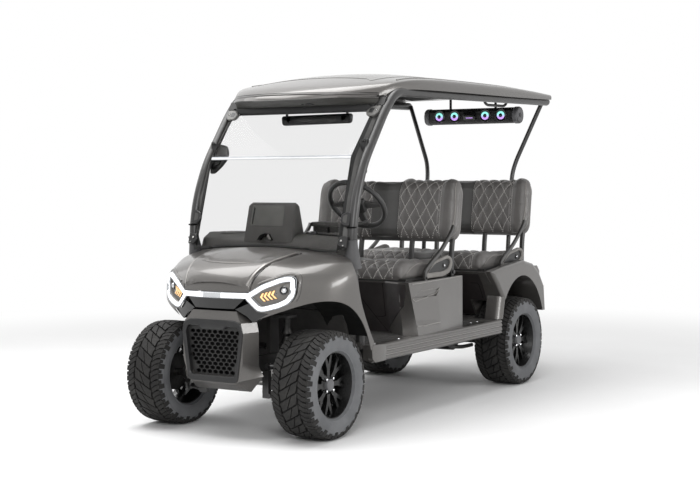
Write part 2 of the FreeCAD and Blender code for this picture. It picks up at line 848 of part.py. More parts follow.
def tyre_shape():
    """A ring of flat-sided sectors with its axle along Z; lugs alternate from side to side."""
    count = int(d.lug_count)
    step = 2 * math.pi / count
    corner = 1 / math.cos(step / 2)

    def spun(point, number):
        angle = (number + 0.5) * step
        radius = point[0] * corner
        place = point[1]
        return Vector(radius * math.cos(angle), radius * math.sin(angle), place)

    profiles = [tyre_sector_profile(1), tyre_sector_profile(-1)]
    faces = []
    for number in range(count):
        profile = profiles[number % 2]
        for start, end in zip(profile, profile[1:] + profile[:1]):
            corners = [spun(start, number), spun(end, number)]
            corners += [spun(end, number + 1), spun(start, number + 1)]
            faces.append(polygon_face(corners))
        for side, high in ((1, profiles[0]), (-1, profiles[1])):
            low = profiles[1] if side == 1 else profiles[0]
            outline = [point for point in high if point[1] * side > 0 and point not in low]
            inner = [point for point in low if point[1] * side > 0 and point not in high]
            foot = [point for point in high if point in low and point[1] * side > 0]
            shoulder = max(foot, key=lambda point: point[0] if point[0] < outline[0][0] else 0)
            rib = max(foot, key=lambda point: point[0])
            ring = [shoulder] + sorted(outline, key=lambda point: -abs(point[1])) + [rib]
            ring += sorted(inner, key=lambda point: abs(point[1]))
            faces.append(polygon_face([spun(point, number) for point in ring]))
    shell = Part.makeShell(faces)
    shell.sewShape()
    solid = Part.makeSolid(Part.Shell(shell.Faces))
    if solid.Volume < 0:
        solid.reverse()
    return solid


def rim_body(name):
    """An alloy rim in its own frame, outer face upwards."""
    body = new_body(name)
    barrel = new_sketch(body, name + "_profile", "XZ_Plane")
    outside = "dims.bead_radius - dims.seat_gap"
    draw_outline(
        barrel,
        [
            (outside + " - 22", "-30"),
            (outside, "14 - dims.rim_width / 2"),
            (outside + " + 8", "8 - dims.rim_width / 2"),
            (outside + " + 8", "-dims.rim_width / 2"),
            (outside + " - dims.rim_wall", "-dims.rim_width / 2"),
            (outside + " - 22 - dims.rim_wall", "-30"),
            (outside + " - 22 - dims.rim_wall", "30"),
            (outside + " - dims.rim_wall", "dims.rim_width / 2"),
            (outside + " + 8", "dims.rim_width / 2"),
            (outside + " + 8", "dims.rim_width / 2 - 8"),
            (outside, "dims.rim_width / 2 - 14"),
            (outside + " - 22", "30"),
        ],
    )
    turned(body, name + "_barrel", barrel)
    hub = new_sketch(body, name + "_hub_profile", "XZ_Plane")
    draw_outline(
        hub,
        [
            ("0", "dims.disc_face - dims.spoke_depth"),
            ("dims.hub_radius", "dims.disc_face - dims.spoke_depth"),
            ("dims.hub_radius", "dims.disc_face - 8"),
            ("dims.cap_radius + 6", "dims.disc_face"),
            ("dims.cap_radius + 4", "dims.disc_face - 5"),
            ("dims.cap_radius", "dims.disc_face - 5"),
            ("dims.cap_radius - 4", "dims.disc_face + 9"),
            ("0", "dims.disc_face + 11"),
        ],
    )
    turned(body, name + "_hub", hub)
    spoke = new_sketch(body, name + "_spoke_outline", "XY_Plane", "dims.disc_face")
    reach = "dims.bead_radius - 16"
    draw_outline(
        spoke,
        [
            ("dims.hub_radius - 8", "-dims.spoke_width / 2"),
            ("dims.hub_radius + 26", "-dims.spoke_width / 2"),
            (reach, "-dims.spoke_width * 1.5"),
            (reach, "-dims.spoke_width * 0.8"),
            ("dims.hub_radius + 52", "0"),
            (reach, "dims.spoke_width * 0.8"),
            (reach, "dims.spoke_width * 1.5"),
            ("dims.hub_radius + 26", "dims.spoke_width / 2"),
            ("dims.hub_radius - 8", "dims.spoke_width / 2"),
        ],
    )
    pad = padded(body, name + "_spoke", spoke, "dims.spoke_depth", backwards=True)
    doc.recompute()
    pattern = body.newObject("PartDesign::PolarPattern", name + "_spokes")
    pattern.Originals = [pad]
    pattern.Axis = (spoke, ["N_Axis"])
    pattern.Angle = 360
    pattern.setExpression("Occurrences", "dims.spoke_count")
    body.Tip = pattern
    return body


def make_wheels():
    """A rim and a tyre at each corner, with the dished side outwards."""
    for end, axle in (("front", "-"), ("rear", "")):
        for side, name in ((1, "left"), (-1, "right")):
            turn = Rotation(Z_AXIS, Vector(side, 0, 0))
            label = "%s_%s" % (end, name)
            tyre = doc.addObject("Part::Feature", "tyre_" + label)
            tyre.Shape = tyre_shape()
            for body in (rim_body("rim_" + label), tyre):
                body.Placement = Placement(Vector(), turn)
                body.setExpression("Placement.Base.x", "%d * dims.track_half" % side)
                body.setExpression("Placement.Base.y", axle + "dims.wheelbase / 2 + " + SHIFT)
                body.setExpression("Placement.Base.z", "dims.tyre_radius")
                keep(body, body.Name)
                placed.append(body)


# Nose, fenders and hood


def front_rows():
    """Rows run from the rockers' level up the nose and over the hood to the windshield's foot."""
    side = d.body_half
    top = d.cowl_height
    rear = d.cowl_rear
    rows = []
    for level, back in ((440, -738), (560, -818), (650, -868), (735, -906)):
        row = [Vector(x, nose_y(x), level) for x in (0, 120, 225, 330, 430)]
        row.append(Vector(side - 88, -1210, level))
        row.append(Vector(side - 32, -1120, level))
        row.append(Vector(side - 4, -1010, level))
        row.append(Vector(side, back, level))
        rows.append(row)
    belt = ((0, 198), (120, 196), (225, 184), (330, 156), (418, 140))
    row = [Vector(x, nose_y(x) + 6, top - drop) for x, drop in belt]
    row.append(Vector(side - 98, -1188, top - 150))
    row.append(Vector(side - 40, -1108, top - 158))
    row.append(Vector(side - 8, -1008, top - 158))
    row.append(Vector(side - 4, -930, top - 158))
    rows.append(row)
    shoulder = (
        (0, -1385, 105),
        (125, -1378, 105),
        (245, -1338, 94),
        (335, -1278, 92),
        (410, -1215, 93),
        (side - 124, -1140, 92),
        (side - 66, -1068, 96),
        (side - 30, -995, 98),
        (side - 20, -942, 100),
    )
    hood = (
        (0, -1210, 34),
        (135, -1206, 36),
        (272, -1190, 46),
        (350, -1155, 56),
        (420, -1112, 62),
        (side - 116, -1062, 62),
        (side - 74, -1018, 64),
        (side - 48, -975, 66),
        (side - 40, -938, 68),
    )
    foot = (
        (0, rear - 36, 0),
        (140, rear - 34, 2),
        (290, rear - 24, 12),
        (372, rear - 14, 20),
        (435, rear - 6, 28),
        (side - 112, rear - 2, 38),
        (side - 84, rear, 44),
        (side - 66, rear, 50),
        (side - 56, rear, 54),
    )
    for outline in (shoulder, hood, foot):
        rows.append([Vector(x, y, top - drop) for x, y, drop in outline])
    return full_width(rows)


def front_arch():
    """What the front wheel arches and the swept lips in front of them remove."""
    ellipse = Part.Ellipse(Vector(), d.arch_rise, d.arch_reach).toShape()
    face = Part.Face(Part.Wire(ellipse))
    face.Placement = Placement(
        Vector(-FAR, FRONT_AXLE.y, FRONT_AXLE.z), Rotation(Z_AXIS, X_AXIS)
    )
    hole = face.extrude(Vector(2 * FAR, 0, 0))
    return hole


def lip_tool():
    """The region under the lips that sweep from the arches to the bumper."""
    lip = [
        (d.body_half + 60, 780),
        (d.body_half, 742),
        (470, 675),
        (380, 640),
        (300, 620),
        (252, 588),
        (252, 300),
        (d.body_half + 60, 300),
    ]
    return pair(front_prism(lip, FRONT_AXLE.y - 500, FRONT_AXLE.y))


LAMP_RING = [
    (198, 787),
    (232, 799),
    (333, 846),
    (396, 870),
    (422, 878),
    (441, 844),
    (441, 785),
    (424, 743),
    (357, 706),
    (290, 689),
    (268, 694),
    (198, 745),
]
LAMP_LENS = [
    (222, 768),
    (333, 822),
    (396, 849),
    (416, 852),
    (422, 785),
    (407, 756),
    (356, 732),
    (290, 715),
    (275, 715),
]
NOSE_RECESS = [
    (136, 697),
    (219, 735),
    (260, 688),
    (319, 679),
    (242, 634),
    (234, 632),
    (200, 663),
    (152, 690),
]


def hood_outline(gap):
    """Plan of the hood between its two seams, widened by a gap."""
    right = [
        (214 + gap, nose_y(214) - 60),
        (218 + gap, -1410),
        (248 + gap, -1329),
        (307 + gap, -1040 + gap),
    ]
    return right + [(-x, y) for x, y in reversed(right)]


def make_front_body():
    rows = front_rows()
    shell = skin(rows, d.panel_wall)
    deep = skin(rows, d.lamp_depth)
    sunk = skin(rows, d.lamp_depth, 2 * d.panel_wall)
    front_low = FRONT_AXLE.y - 600
    above_band = slab(Vector(-FAR, -FAR, d.band_high), Vector(FAR, FAR, FAR))
    hood_hole = plan_prism(hood_outline(d.panel_gap), 500, 1200).common(above_band)
    hood_solid = plan_prism(hood_outline(0), 500, 1200)
    hood_floor = slab(Vector(-FAR, -FAR, d.band_high + d.panel_gap), Vector(FAR, FAR, FAR))
    ring = pair(front_prism(LAMP_RING, front_low, FRONT_AXLE.y - 40))
    lens = pair(front_prism(LAMP_LENS, front_low, FRONT_AXLE.y - 40))
    recess = pair(front_prism(NOSE_RECESS, front_low, FRONT_AXLE.y - 40))
    band = slab(Vector(-200, front_low, d.band_low), Vector(200, FRONT_AXLE.y, d.band_high))
    grille_hole = front_prism(
        [(-232, 300), (232, 300), (232, 560), (208, 640), (-208, 640), (-232, 560)],
        front_low,
        FRONT_AXLE.y,
    )
    rocker_room = slab(
        Vector(-FAR, d.rocker_front - d.panel_gap, 0),
        Vector(FAR, FAR, d.deck_top + d.panel_gap),
    )
    tools = [front_arch(), hood_hole, band, grille_hole, rocker_room]
    body = shell.cut(tools + lip_tool() + ring + recess)
    shaped("front_cowl", largest(body))
    hood = shell.common(hood_solid).common(hood_floor).cut(ring)
    shaped("hood_panel", largest(hood))
    glow = deep.common(fused(ring + [band])).cut(lens)
    shaped("light_band", glow)
    lenses = [sunk.common(outline) for outline in lens]
    shaped("headlamps", Part.makeCompound(lenses))
    panels = [sunk.common(outline).cut(ring + [band]) for outline in recess]
    band_foot = d.band_low - d.seat_gap
    under_band = [(190, band_foot), (130, 700), (-130, 700), (-190, band_foot)]
    panels.append(sunk.common(front_prism(under_band, front_low, FRONT_AXLE.y - 40)))
    shaped("nose_panels", Part.makeCompound(panels))


# Half front views, from the top down

BUMPER_FACE = [(146, 690), (158, 662), (190, 626), (202, 574), (199, 420), (166, 312), (140, 300)]
BUMPER_BACK = [(150, 676), (196, 652), (226, 628), (238, 576), (238, 392), (268, 340), (186, 250)]
GRILLE_OPENING = [(172, 612), (190, 586), (182, 430), (150, 350), (138, 338)]


def front_wire(half_outline, y, shrink=1.0, level=0.0):
    """A symmetric front view at one depth, from the top of its left half, scaled about a level."""
    right = [(x * shrink, level + (z - level) * shrink) for x, z in half_outline]
    whole = right + [(-x, z) for x, z in reversed(right)]
    points = [Vector(x, y, z) for x, z in whole]
    return Part.makePolygon(points + [points[0]])


def half_width_at(half_outline, level):
    """Half the width of a front view at one height."""
    for (x_high, z_high), (x_low, z_low) in zip(half_outline, half_outline[1:]):
        if z_low <= level <= z_high:
            return x_low + (x_high - x_low) * (level - z_low) / (z_high - z_low)
    return 0.0


def make_bumper_and_grille():
    """Faceted bumper with a sloping panel over its opening, and the honeycomb grille in it."""
    face_y = d.bumper_face
    back_y = d.rail_front - d.seat_gap
    outer = Part.makeLoft([front_wire(BUMPER_FACE, face_y), front_wire(BUMPER_BACK, back_y)], True, True)
    panel_low = 634
    panel_high = BUMPER_FACE[0][1]
    lean = 22
    ahead = [(face_y - 20, panel_low), (face_y, panel_low), (face_y + lean, panel_high)]
    ahead += [(face_y + lean, panel_high + 20), (face_y - 20, panel_high + 20)]
    level = 440
    taper = 0.06
    opening = Part.makeLoft(
        [
            front_wire(GRILLE_OPENING, face_y - 1),
            front_wire(GRILLE_OPENING, back_y + 1, 1 - taper, level),
        ],
        True,
        True,
    )
    shaped("front_bumper", outer.cut([opening, side_prism(ahead, -FAR, FAR)]))
    grille_y = face_y + d.grille_set
    fit = 1 - taper * (d.grille_set + d.grille_wall + 1) / (back_y - face_y + 2) - 0.001
    plate = Part.Face(front_wire(GRILLE_OPENING, grille_y, fit, level))
    plate = plate.extrude(Vector(0, d.grille_wall, 0))
    pitch_x = d.cell_width + d.cell_web
    pitch_z = d.cell_height + d.cell_web / 2
    high = GRILLE_OPENING[0][1]
    low = GRILLE_OPENING[-1][1]
    columns = int(2 * GRILLE_OPENING[1][0] / pitch_x) + 1
    rows = int((high - low) / pitch_z)
    cells = []
    for row_number in range(rows):
        z = low + d.cell_height + row_number * pitch_z
        room = half_width_at(GRILLE_OPENING, z) - d.cell_web * 2
        for column in range(-columns, columns + 1):
            x = (column + 0.5 * (row_number % 2)) * pitch_x
            half = d.cell_width / 2
            if abs(x) + half > room or z + d.cell_height > high - d.cell_web:
                continue
            rise = d.cell_height * 0.66
            hexagon = [
                (x - half, z - rise * 0.5),
                (x, z - rise),
                (x + half, z - rise * 0.5),
                (x + half, z + rise * 0.5),
                (x, z + rise),
                (x - half, z + rise * 0.5),
            ]
            cells.append(front_prism(hexagon, grille_y - 5, grille_y + d.grille_wall + 5))
    shaped("grille", plate.cut(Part.makeCompound(cells)))


# Cabin front: firewall, dashboard, pedals and steering


def dash_solid(gap):
    """The dashboard's outline across the cart, raised by a gap."""
    outline = [
        (-905, d.dash_level),
        (-880, 1046),
        (-820, d.dash_top - 4),
        (-700, d.dash_top),
        (-648, d.dash_top - 42),
        (-640, d.dash_level),
        (-668, 850),
        (-760, d.dash_low),
    ]
    return side_prism([(y, z + gap) for y, z in outline], -502, 502)


def make_dashboard():
    """A moulding under the windshield with two open bins and a bore for the column."""
    tools = []
    for centre in (-290, 20):
        tools.append(slab(Vector(centre - 105, -780, 880), Vector(centre + 105, -600, 970)))
    centre, axis = steering_frame()
    bore_foot = centre - axis * (d.column_length + d.seat_gap)
    tools.append(rod(bore_foot, centre, d.column_radius + d.seat_gap))
    shaped("dashboard", dash_solid(0).cut(tools))


def make_firewall():
    """The wall between the front wheels and the footwell, up to the dashboard's front face."""
    foot_y = d.deck_front - d.toe_lean - d.deck_thickness
    foot_z = d.deck_top + d.toe_rise
    slope = (d.dash_level - d.dash_low) / 145

    def under_dash(y):
        rise = d.seat_gap * math.sqrt(1 + slope ** 2)
        return d.dash_level - (y + 905) * slope - rise

    outline = [
        (foot_y + 3, foot_z + d.seat_gap),
        (foot_y + 20, foot_z + d.seat_gap),
        (-846, 900),
        (-846, under_dash(-846)),
        (-866, under_dash(-866)),
        (-866, 900),
    ]
    shaped("firewall", side_prism(outline, -d.toe_half, d.toe_half))


def make_display():
    """Hooded display that stands on the middle of the dashboard, close behind the windshield."""
    outline_low = [(-146, -893), (146, -893), (150, -790), (-150, -790)]
    outline_high = [(-158, -872), (158, -872), (150, -800), (-150, -800)]

    def wire(points, z):
        places = [Vector(x, y, z) for x, y in points]
        return Part.makePolygon(places + [places[0]])

    low = wire(outline_low, d.dash_level)
    high = wire(outline_high, d.dash_top + d.display_height)
    hood = Part.makeLoft([low, high], True, True)
    shaped("display_pod", largest(hood.cut(dash_solid(d.seat_gap))))


def steering_frame():
    """Placement at the steering wheel's centre with its axis along the column."""
    tilt = math.radians(d.column_angle)
    axis = Vector(0, math.cos(tilt), math.sin(tilt))
    return Vector(d.wheel_x, d.wheel_y, d.wheel_z), axis


def make_steering():
    centre, axis = steering_frame()
    boss_drop = 28
    column_top = centre - axis * (boss_drop + d.seat_gap)
    column_foot = centre - axis * d.column_length
    shaped("steering_column", rod(column_foot, column_top, d.column_radius))
    sides = 8
    ring = []
    for corner in range(sides):
        angle = 2 * math.pi * (corner + 0.5) / sides
        ring.append(
            Vector(
                d.wheel_radius + d.grip_radius * math.cos(angle), 0, d.grip_radius * math.sin(angle)
            )
        )
    grip = polygon_face(ring).revolve(Vector(), Z_AXIS, 360)
    boss = Part.makeCylinder(44, 30, Vector(0, 0, -boss_drop), Z_AXIS)
    parts = [grip, boss]
    for angle in (0, 180, 270):
        way = Vector(math.cos(math.radians(angle)), math.sin(math.radians(angle)), 0)
        across = Vector(-way.y, way.x, 0)
        root = way * 30 - Vector(0, 0, 16)
        tip = way * (d.wheel_radius - 2)
        points = [
            root + across * 20,
            root - across * 20,
            tip - across * 12,
            tip + across * 12,
        ]
        spoke = polygon_face(points).extrude(Vector(0, 0, 8))
        spoke.translate(Vector(0, 0, -4))
        parts.append(spoke)
    wheel = fused(parts)
    wheel.Placement = Placement(centre, Rotation(Z_AXIS, axis))
    shaped("steering_wheel", wheel)


def make_pedals():
    """Accelerator and brake on arms that hang from the firewall."""
    shapes = []
    for x, width in ((178, 62), (318, 82)):
        arm = tube(
            [
                Vector(x, -852.6, 800),
                Vector(x, -812, 800),
                Vector(x, -780, 750),
                Vector(x, -762, 640),
            ],
            7,
        )
        pad = slab(Vector(x - width / 2, -766, 576), Vector(x + width / 2, -754, 652))
        shapes.append(fused([arm, pad]))
    shaped("pedals", Part.makeCompound(shapes))


# Windshield, canopy frame and roof


def pillar_points():
    return [
        Vector(500, -750, d.deck_top + d.seat_gap),
        Vector(500, -750, 540),
        Vector(540, -890, 860),
        Vector(550, -911, 1070),
        Vector(550, -870, 1279),
        Vector(547, -781, 1478),
        Vector(548, -664, 1630),
        Vector(549, -552, 1776),
        Vector(552, -440, 1884),
        Vector(553, -250, 1887),
        Vector(551, d.roof_rear - 50, 1909),
    ]


def make_canopy_frame():
    shaped("front_pillars", both_sides(tube(pillar_points(), d.pillar_radius)))
    rail_start, rail_end = pillar_points()[-2:]
    strut = tube(
        [
            Vector(336, 1474, d.pod_top + d.seat_gap),
            Vector(336, 1474, 880),
            Vector(337, 1525, 1308),
            Vector(338, 1541, 1412),
            Vector(356, 1562, 1497),
            Vector(rail_end.x - 24, 1626, rail_end.z),
        ],
        d.strut_radius,
    )
    strut = strut.cut(rod(rail_start, rail_end, d.pillar_radius + d.seat_gap))
    shaped("rear_struts", both_sides(largest(strut)))


def make_windshield():
    """Two flat panes that follow the pillars, and the clips that hold them."""
    half = d.glass_half
    foot = (d.glass_foot_y, d.glass_foot_z)
    seam = (-805, 1510)
    head = (-548, 1802)
    lower_way, lower_back = side_frame(foot, seam)
    upper_way, upper_back = side_frame(seam, head)

    def place(start, way, back, x, climb, depth):
        return Vector(
            x,
            start[0] + way[0] * climb + back[0] * depth,
            start[1] + way[1] * climb + back[1] * depth,
        )

    def pane(start, way, back, edge):
        face = polygon_face([place(start, way, back, x, climb, 0) for x, climb in edge])
        return face.extrude(Vector(0, -back[0], -back[1]) * d.glass_wall)

    def clip(start, way, back, x_low, x_high, climb_low, climb_high, depth):
        outline = []
        for climb, out in (
            (climb_low, d.seat_gap),
            (climb_high, d.seat_gap),
            (climb_high, depth),
            (climb_low, depth),
        ):
            point = place(start, way, back, 0, climb, out)
            outline.append((point.y, point.z))
        return side_prism(outline, x_low, x_high)

    lower_length = math.hypot(seam[0] - foot[0], seam[1] - foot[1])
    upper_length = math.hypot(head[0] - seam[0], head[1] - seam[1])
    sag = ((0, 0), (290, -10), (435, -24), (half, -34))
    lower_edge = [(-x, climb) for x, climb in reversed(sag[1:])] + list(sag)
    lower_edge += [(half - 6, lower_length - 1), (6 - half, lower_length - 1)]
    upper_edge = [(6 - half, 1), (half - 6, 1), (half - 16, upper_length), (16 - half, upper_length)]
    shaped("windshield_lower", pane(foot, lower_way, lower_back, lower_edge))
    shaped("windshield_upper", pane(seam, upper_way, upper_back, upper_edge))
    reach = pillar_points()[3].x
    lower = (foot, lower_way, lower_back)
    upper = (seam, upper_way, upper_back)
    pillar = tube(pillar_points(), d.pillar_radius + d.seat_gap)
    clips = []
    for edge, x_low, climb_low, climb_high, depth in (
        (lower, half - 40, 60, 100, 16),
        (lower, half - 44, lower_length - 60, lower_length - 4, 18),
        (upper, half - 44, 6, 60, 18),
        (upper, half - 60, upper_length - 70, upper_length - 6, 14),
    ):
        whole = clip(*edge, x_low, reach, climb_low, climb_high, depth)
        clips += pair(largest(whole.cut(pillar)))
    shaped("windshield_clips", Part.makeCompound(clips))


def roof_rows():
    """Rows run from the front edge to the rear, each from the middle to the side edge."""
    half = d.roof_half
    edge = d.roof_edge
    crown = d.roof_crown
    front = d.roof_front
    rear = d.roof_rear
    rows = [
        [
            Vector(0, front, edge - 92),
            Vector(200, front + 40, edge - 90),
            Vector(380, front + 160, edge - 80),
            Vector(half - 96, front + 330, edge - 70),
            Vector(half - 74, front + 380, edge - 62),
            Vector(half - 66, front + 396, edge - 80),
        ],
        [
            Vector(0, front + 12, edge - 40),
            Vector(200, front + 50, edge - 38),
            Vector(385, front + 170, edge - 32),
            Vector(half - 88, front + 342, edge - 22),
            Vector(half - 60, front + 400, edge - 20),
            Vector(half - 50, front + 430, edge - 50),
        ],
        [
            Vector(0, front + 300, edge + 28),
            Vector(220, front + 320, edge + 26),
            Vector(400, front + 380, edge + 20),
            Vector(half - 60, front + 470, edge + 22),
            Vector(half - 30, front + 500, edge + 14),
            Vector(half - 26, front + 520, edge - 26),
        ],
        [
            Vector(0, front + 760, crown - 4),
            Vector(240, front + 750, crown - 14),
            Vector(430, front + 740, edge + 66),
            Vector(half - 60, front + 740, edge + 52),
            Vector(half, front + 750, edge + 40),
            Vector(half - 6, front + 760, edge - 22),
        ],
        [
            Vector(0, front + 1300, crown),
            Vector(240, front + 1300, crown - 8),
            Vector(430, front + 1300, edge + 72),
            Vector(half - 60, front + 1300, edge + 58),
            Vector(half + 4, front + 1300, edge + 44),
            Vector(half, front + 1300, edge - 18),
        ],
        [
            Vector(0, rear - 420, crown - 14),
            Vector(240, rear - 420, crown - 20),
            Vector(430, rear - 420, edge + 68),
            Vector(half - 60, rear - 420, edge + 56),
            Vector(half + 4, rear - 420, edge + 44),
            Vector(half, rear - 420, edge - 14),
        ],
        [
            Vector(0, rear, edge + 36),
            Vector(230, rear - 4, edge + 34),
            Vector(420, rear - 14, edge + 30),
            Vector(half - 64, rear - 30, edge + 30),
            Vector(half - 8, rear - 44, edge + 28),
            Vector(half - 8, rear - 60, edge - 6),
        ],
    ]
    return full_width(rows)


def make_roof():
    pillars = pair(tube(pillar_points(), d.pillar_radius + d.seat_gap))
    roof = largest(skin(roof_rows(), d.roof_wall).cut(pillars))
    shaped("roof", roof)
    header = side_prism([(-560, 1806), (-530, 1806), (-505, 1842), (-534, 1852)], -548, 548)
    shaped("roof_header", largest(header.cut(pillars)))
    return roof


def make_mirror(roof):
    glass = side_prism([(-436, 1704), (-412, 1704), (-404, 1770), (-428, 1770)], -250, 250)
    stem_radius = 10
    stem_top = under_roof(roof, 0, -418, stem_radius)
    stem = rod(Vector(0, -418, 1760), Vector(0, -418, stem_top), stem_radius)
    shaped("rear_view_mirror", fused([glass, stem]))


def make_sound_bar(roof):
    """A long bar with four speakers, held under the rear of the roof."""
    half = d.bar_width / 2
    y = 1600
    z = 1822
    section = Part.makeCylinder(d.bar_height / 2, d.bar_width, Vector(-half, y, z), X_AXIS)
    front_y = y - d.bar_height * 0.42
    front = slab(
        Vector(-half, y - d.bar_height, z - d.bar_height / 2 + 6),
        Vector(half, front_y, z + d.bar_height / 2 - 6),
    )
    bar = section.cut(front)
    places = (-245, -122, 122, 245)
    holes = []
    cones = []
    for x in places:
        start = Vector(x, front_y - 5, z)
        holes.append(Part.makeCylinder(d.speaker_radius, 35, start, Y_AXIS))
        seat = Vector(x, front_y + 30 - d.seat_gap, z)
        cones.append(Part.makeCone(d.speaker_radius * 0.4, d.speaker_radius - 1, 18, seat, -Y_AXIS))
    bar = bar.cut(holes)
    hooks = [
        rod(Vector(x, y, z + 50), Vector(x, y, under_roof(roof, x, y, 9)), 9) for x in (-180, 180)
    ]
    shaped("sound_bar", fused([bar] + hooks))
    shaped("speakers", Part.makeCompound(cones))


def make_roof_handles(roof):
    """A handle under each side of the roof for the rear riders."""
    x = 500
    front = 790
    rear = 1115
    radius = 9
    handle = tube(
        [
            Vector(x, front, under_roof(roof, x, front, radius)),
            Vector(x, front, 1876),
            Vector(x, front + 40, 1858),
            Vector(x, rear - 40, 1860),
            Vector(x, rear, 1878),
            Vector(x, rear, under_roof(roof, x, rear, radius)),
        ],
        radius,
    )
    shaped("grab_handles", both_sides(handle))


# Seats


def make_pod():
    """The hollow box that carries the front seat, with two pockets in each side."""
    half = d.pod_half
    low = d.deck_top
    outline_low = [
        (-half + 200, d.pod_front + 96),
        (-half + 44, d.pod_front - 16),
        (-half - 40, d.pod_front + 22),
        (-half - 26, d.pod_front + 320),
        (-half + 8, d.pod_rear),
    ]
    outline_high = [
        (-half + 200, d.pod_front + 40),
        (-half + 80, d.pod_front - 10),
        (-half, d.pod_front - 26),
        (-half, d.pod_front + 320),
        (-half + 8, d.pod_rear),
    ]

    def wire(points, z):
        whole = points + [(-x, y) for x, y in reversed(points)]
        places = [Vector(x, y, z) for x, y in whole]
        return Part.makePolygon(places + [places[0]])

    closed = Part.makeLoft([wire(outline_low, low), wire(outline_high, d.pod_top)], True, True)
    wall = d.panel_wall * 2
    hollow = slab(
        Vector(-half + wall + 30, d.pod_front + 96 + wall, low - 1),
        Vector(half - wall - 30, d.pod_rear - wall, d.pod_top + 1),
    )
    front = d.pod_front
    top = d.pod_top
    scoop = side_prism(
        [(front, top - 92), (front + 111, top - 54), (front + 347, top - 52), (front + 297, top - 99)],
        half - 2,
        FAR,
    )
    facet = side_prism(
        [(front + 14, low + 90), (front + 60, low + 54), (front + 300, low + 44), (front + 322, low + 72)],
        half + 22,
        FAR,
    )
    shaped("seat_pod", closed.cut([hollow] + pair(scoop) + pair(facet)))


def cushion(y_front):
    """A seat cushion lying on its board."""
    low = d.pod_top + 2 * d.seat_gap + d.board_wall
    top = low + d.cushion_depth
    half = d.seat_half
    rear = y_front + d.cushion_length
    outline = [
        (y_front + 20, low),
        (rear, low),
        (rear, top - 34),
        (rear - 60, top - 10),
        (y_front + 120, top),
        (y_front + 34, top - 22),
        (y_front, top - 62),
    ]
    return side_prism(outline, -half, half)


def seat_back(y_rest):
    """A seat back leaning on its foot."""
    half = d.seat_half
    outline = [
        (0, 0),
        (0, d.back_height - 30),
        (26, d.back_height),
        (74, d.back_height - 4),
        (d.back_wall, d.back_height - 46),
        (d.back_wall, 30),
        (d.back_wall - 20, 0),
    ]
    solid = side_prism(outline, -half, half)
    solid.rotate(Vector(), X_AXIS, -d.back_rake)
    solid.translate(Vector(0, y_rest, d.back_foot))
    return solid


def make_seats():
    for name, shift in (("front", 0), ("rear", d.seat_pitch)):
        y_front = d.seat_front_y + shift
        shaped("seat_bottom_" + name, cushion(y_front))
        low = d.pod_top + d.seat_gap
        board = slab(
            Vector(-d.seat_half + 12, y_front + 26, low),
            Vector(d.seat_half - 12, y_front + d.cushion_length - 10, low + d.board_wall),
        )
        shaped("seat_board_" + name, board)
        shaped("seat_back_" + name, seat_back(342 + shift))


def make_seat_frames():
    """Hip bars at each seat's ends, which carry the seat backs, and the guards in them."""
    frames = []
    guards = []
    foot = d.pod_top + d.seat_gap
    radius = 10
    x = d.seat_half + 27
    inner = d.seat_half + d.seat_gap
    for shift in (0, d.seat_pitch):
        bar = tube(
            [
                Vector(x, -68 + shift, foot),
                Vector(x, -68 + shift, 826),
                Vector(x, 31 + shift, 890),
                Vector(x, 284 + shift, 1060),
                Vector(x, 404 + shift, 1190),
            ],
            radius,
        )
        post = tube(
            [
                Vector(x, 300 + shift, foot),
                Vector(x, 300 + shift, 830),
                Vector(x, 372 + shift, 1154),
            ],
            radius,
        )
        pegs = [
            rod(Vector(inner, y + shift, z), Vector(x, y + shift, z), 8)
            for y, z in ((388, 1172), (366, 1126))
        ]
        frames.append(fused([bar, post] + pegs))
        plate = side_prism(
            [
                (-52 + shift, foot),
                (280 + shift, foot),
                (284 + shift, 905),
                (210 + shift, 940),
                (40 + shift, 872),
            ],
            x - 8,
            x + 8,
        )
        guards.append(largest(plate.cut(frames[-1])))
    shaped("seat_frames", Part.makeCompound([solid for frame in frames for solid in pair(frame)]))
    shaped("seat_guards", Part.makeCompound([solid for guard in guards for solid in pair(guard)]))


# Rear body


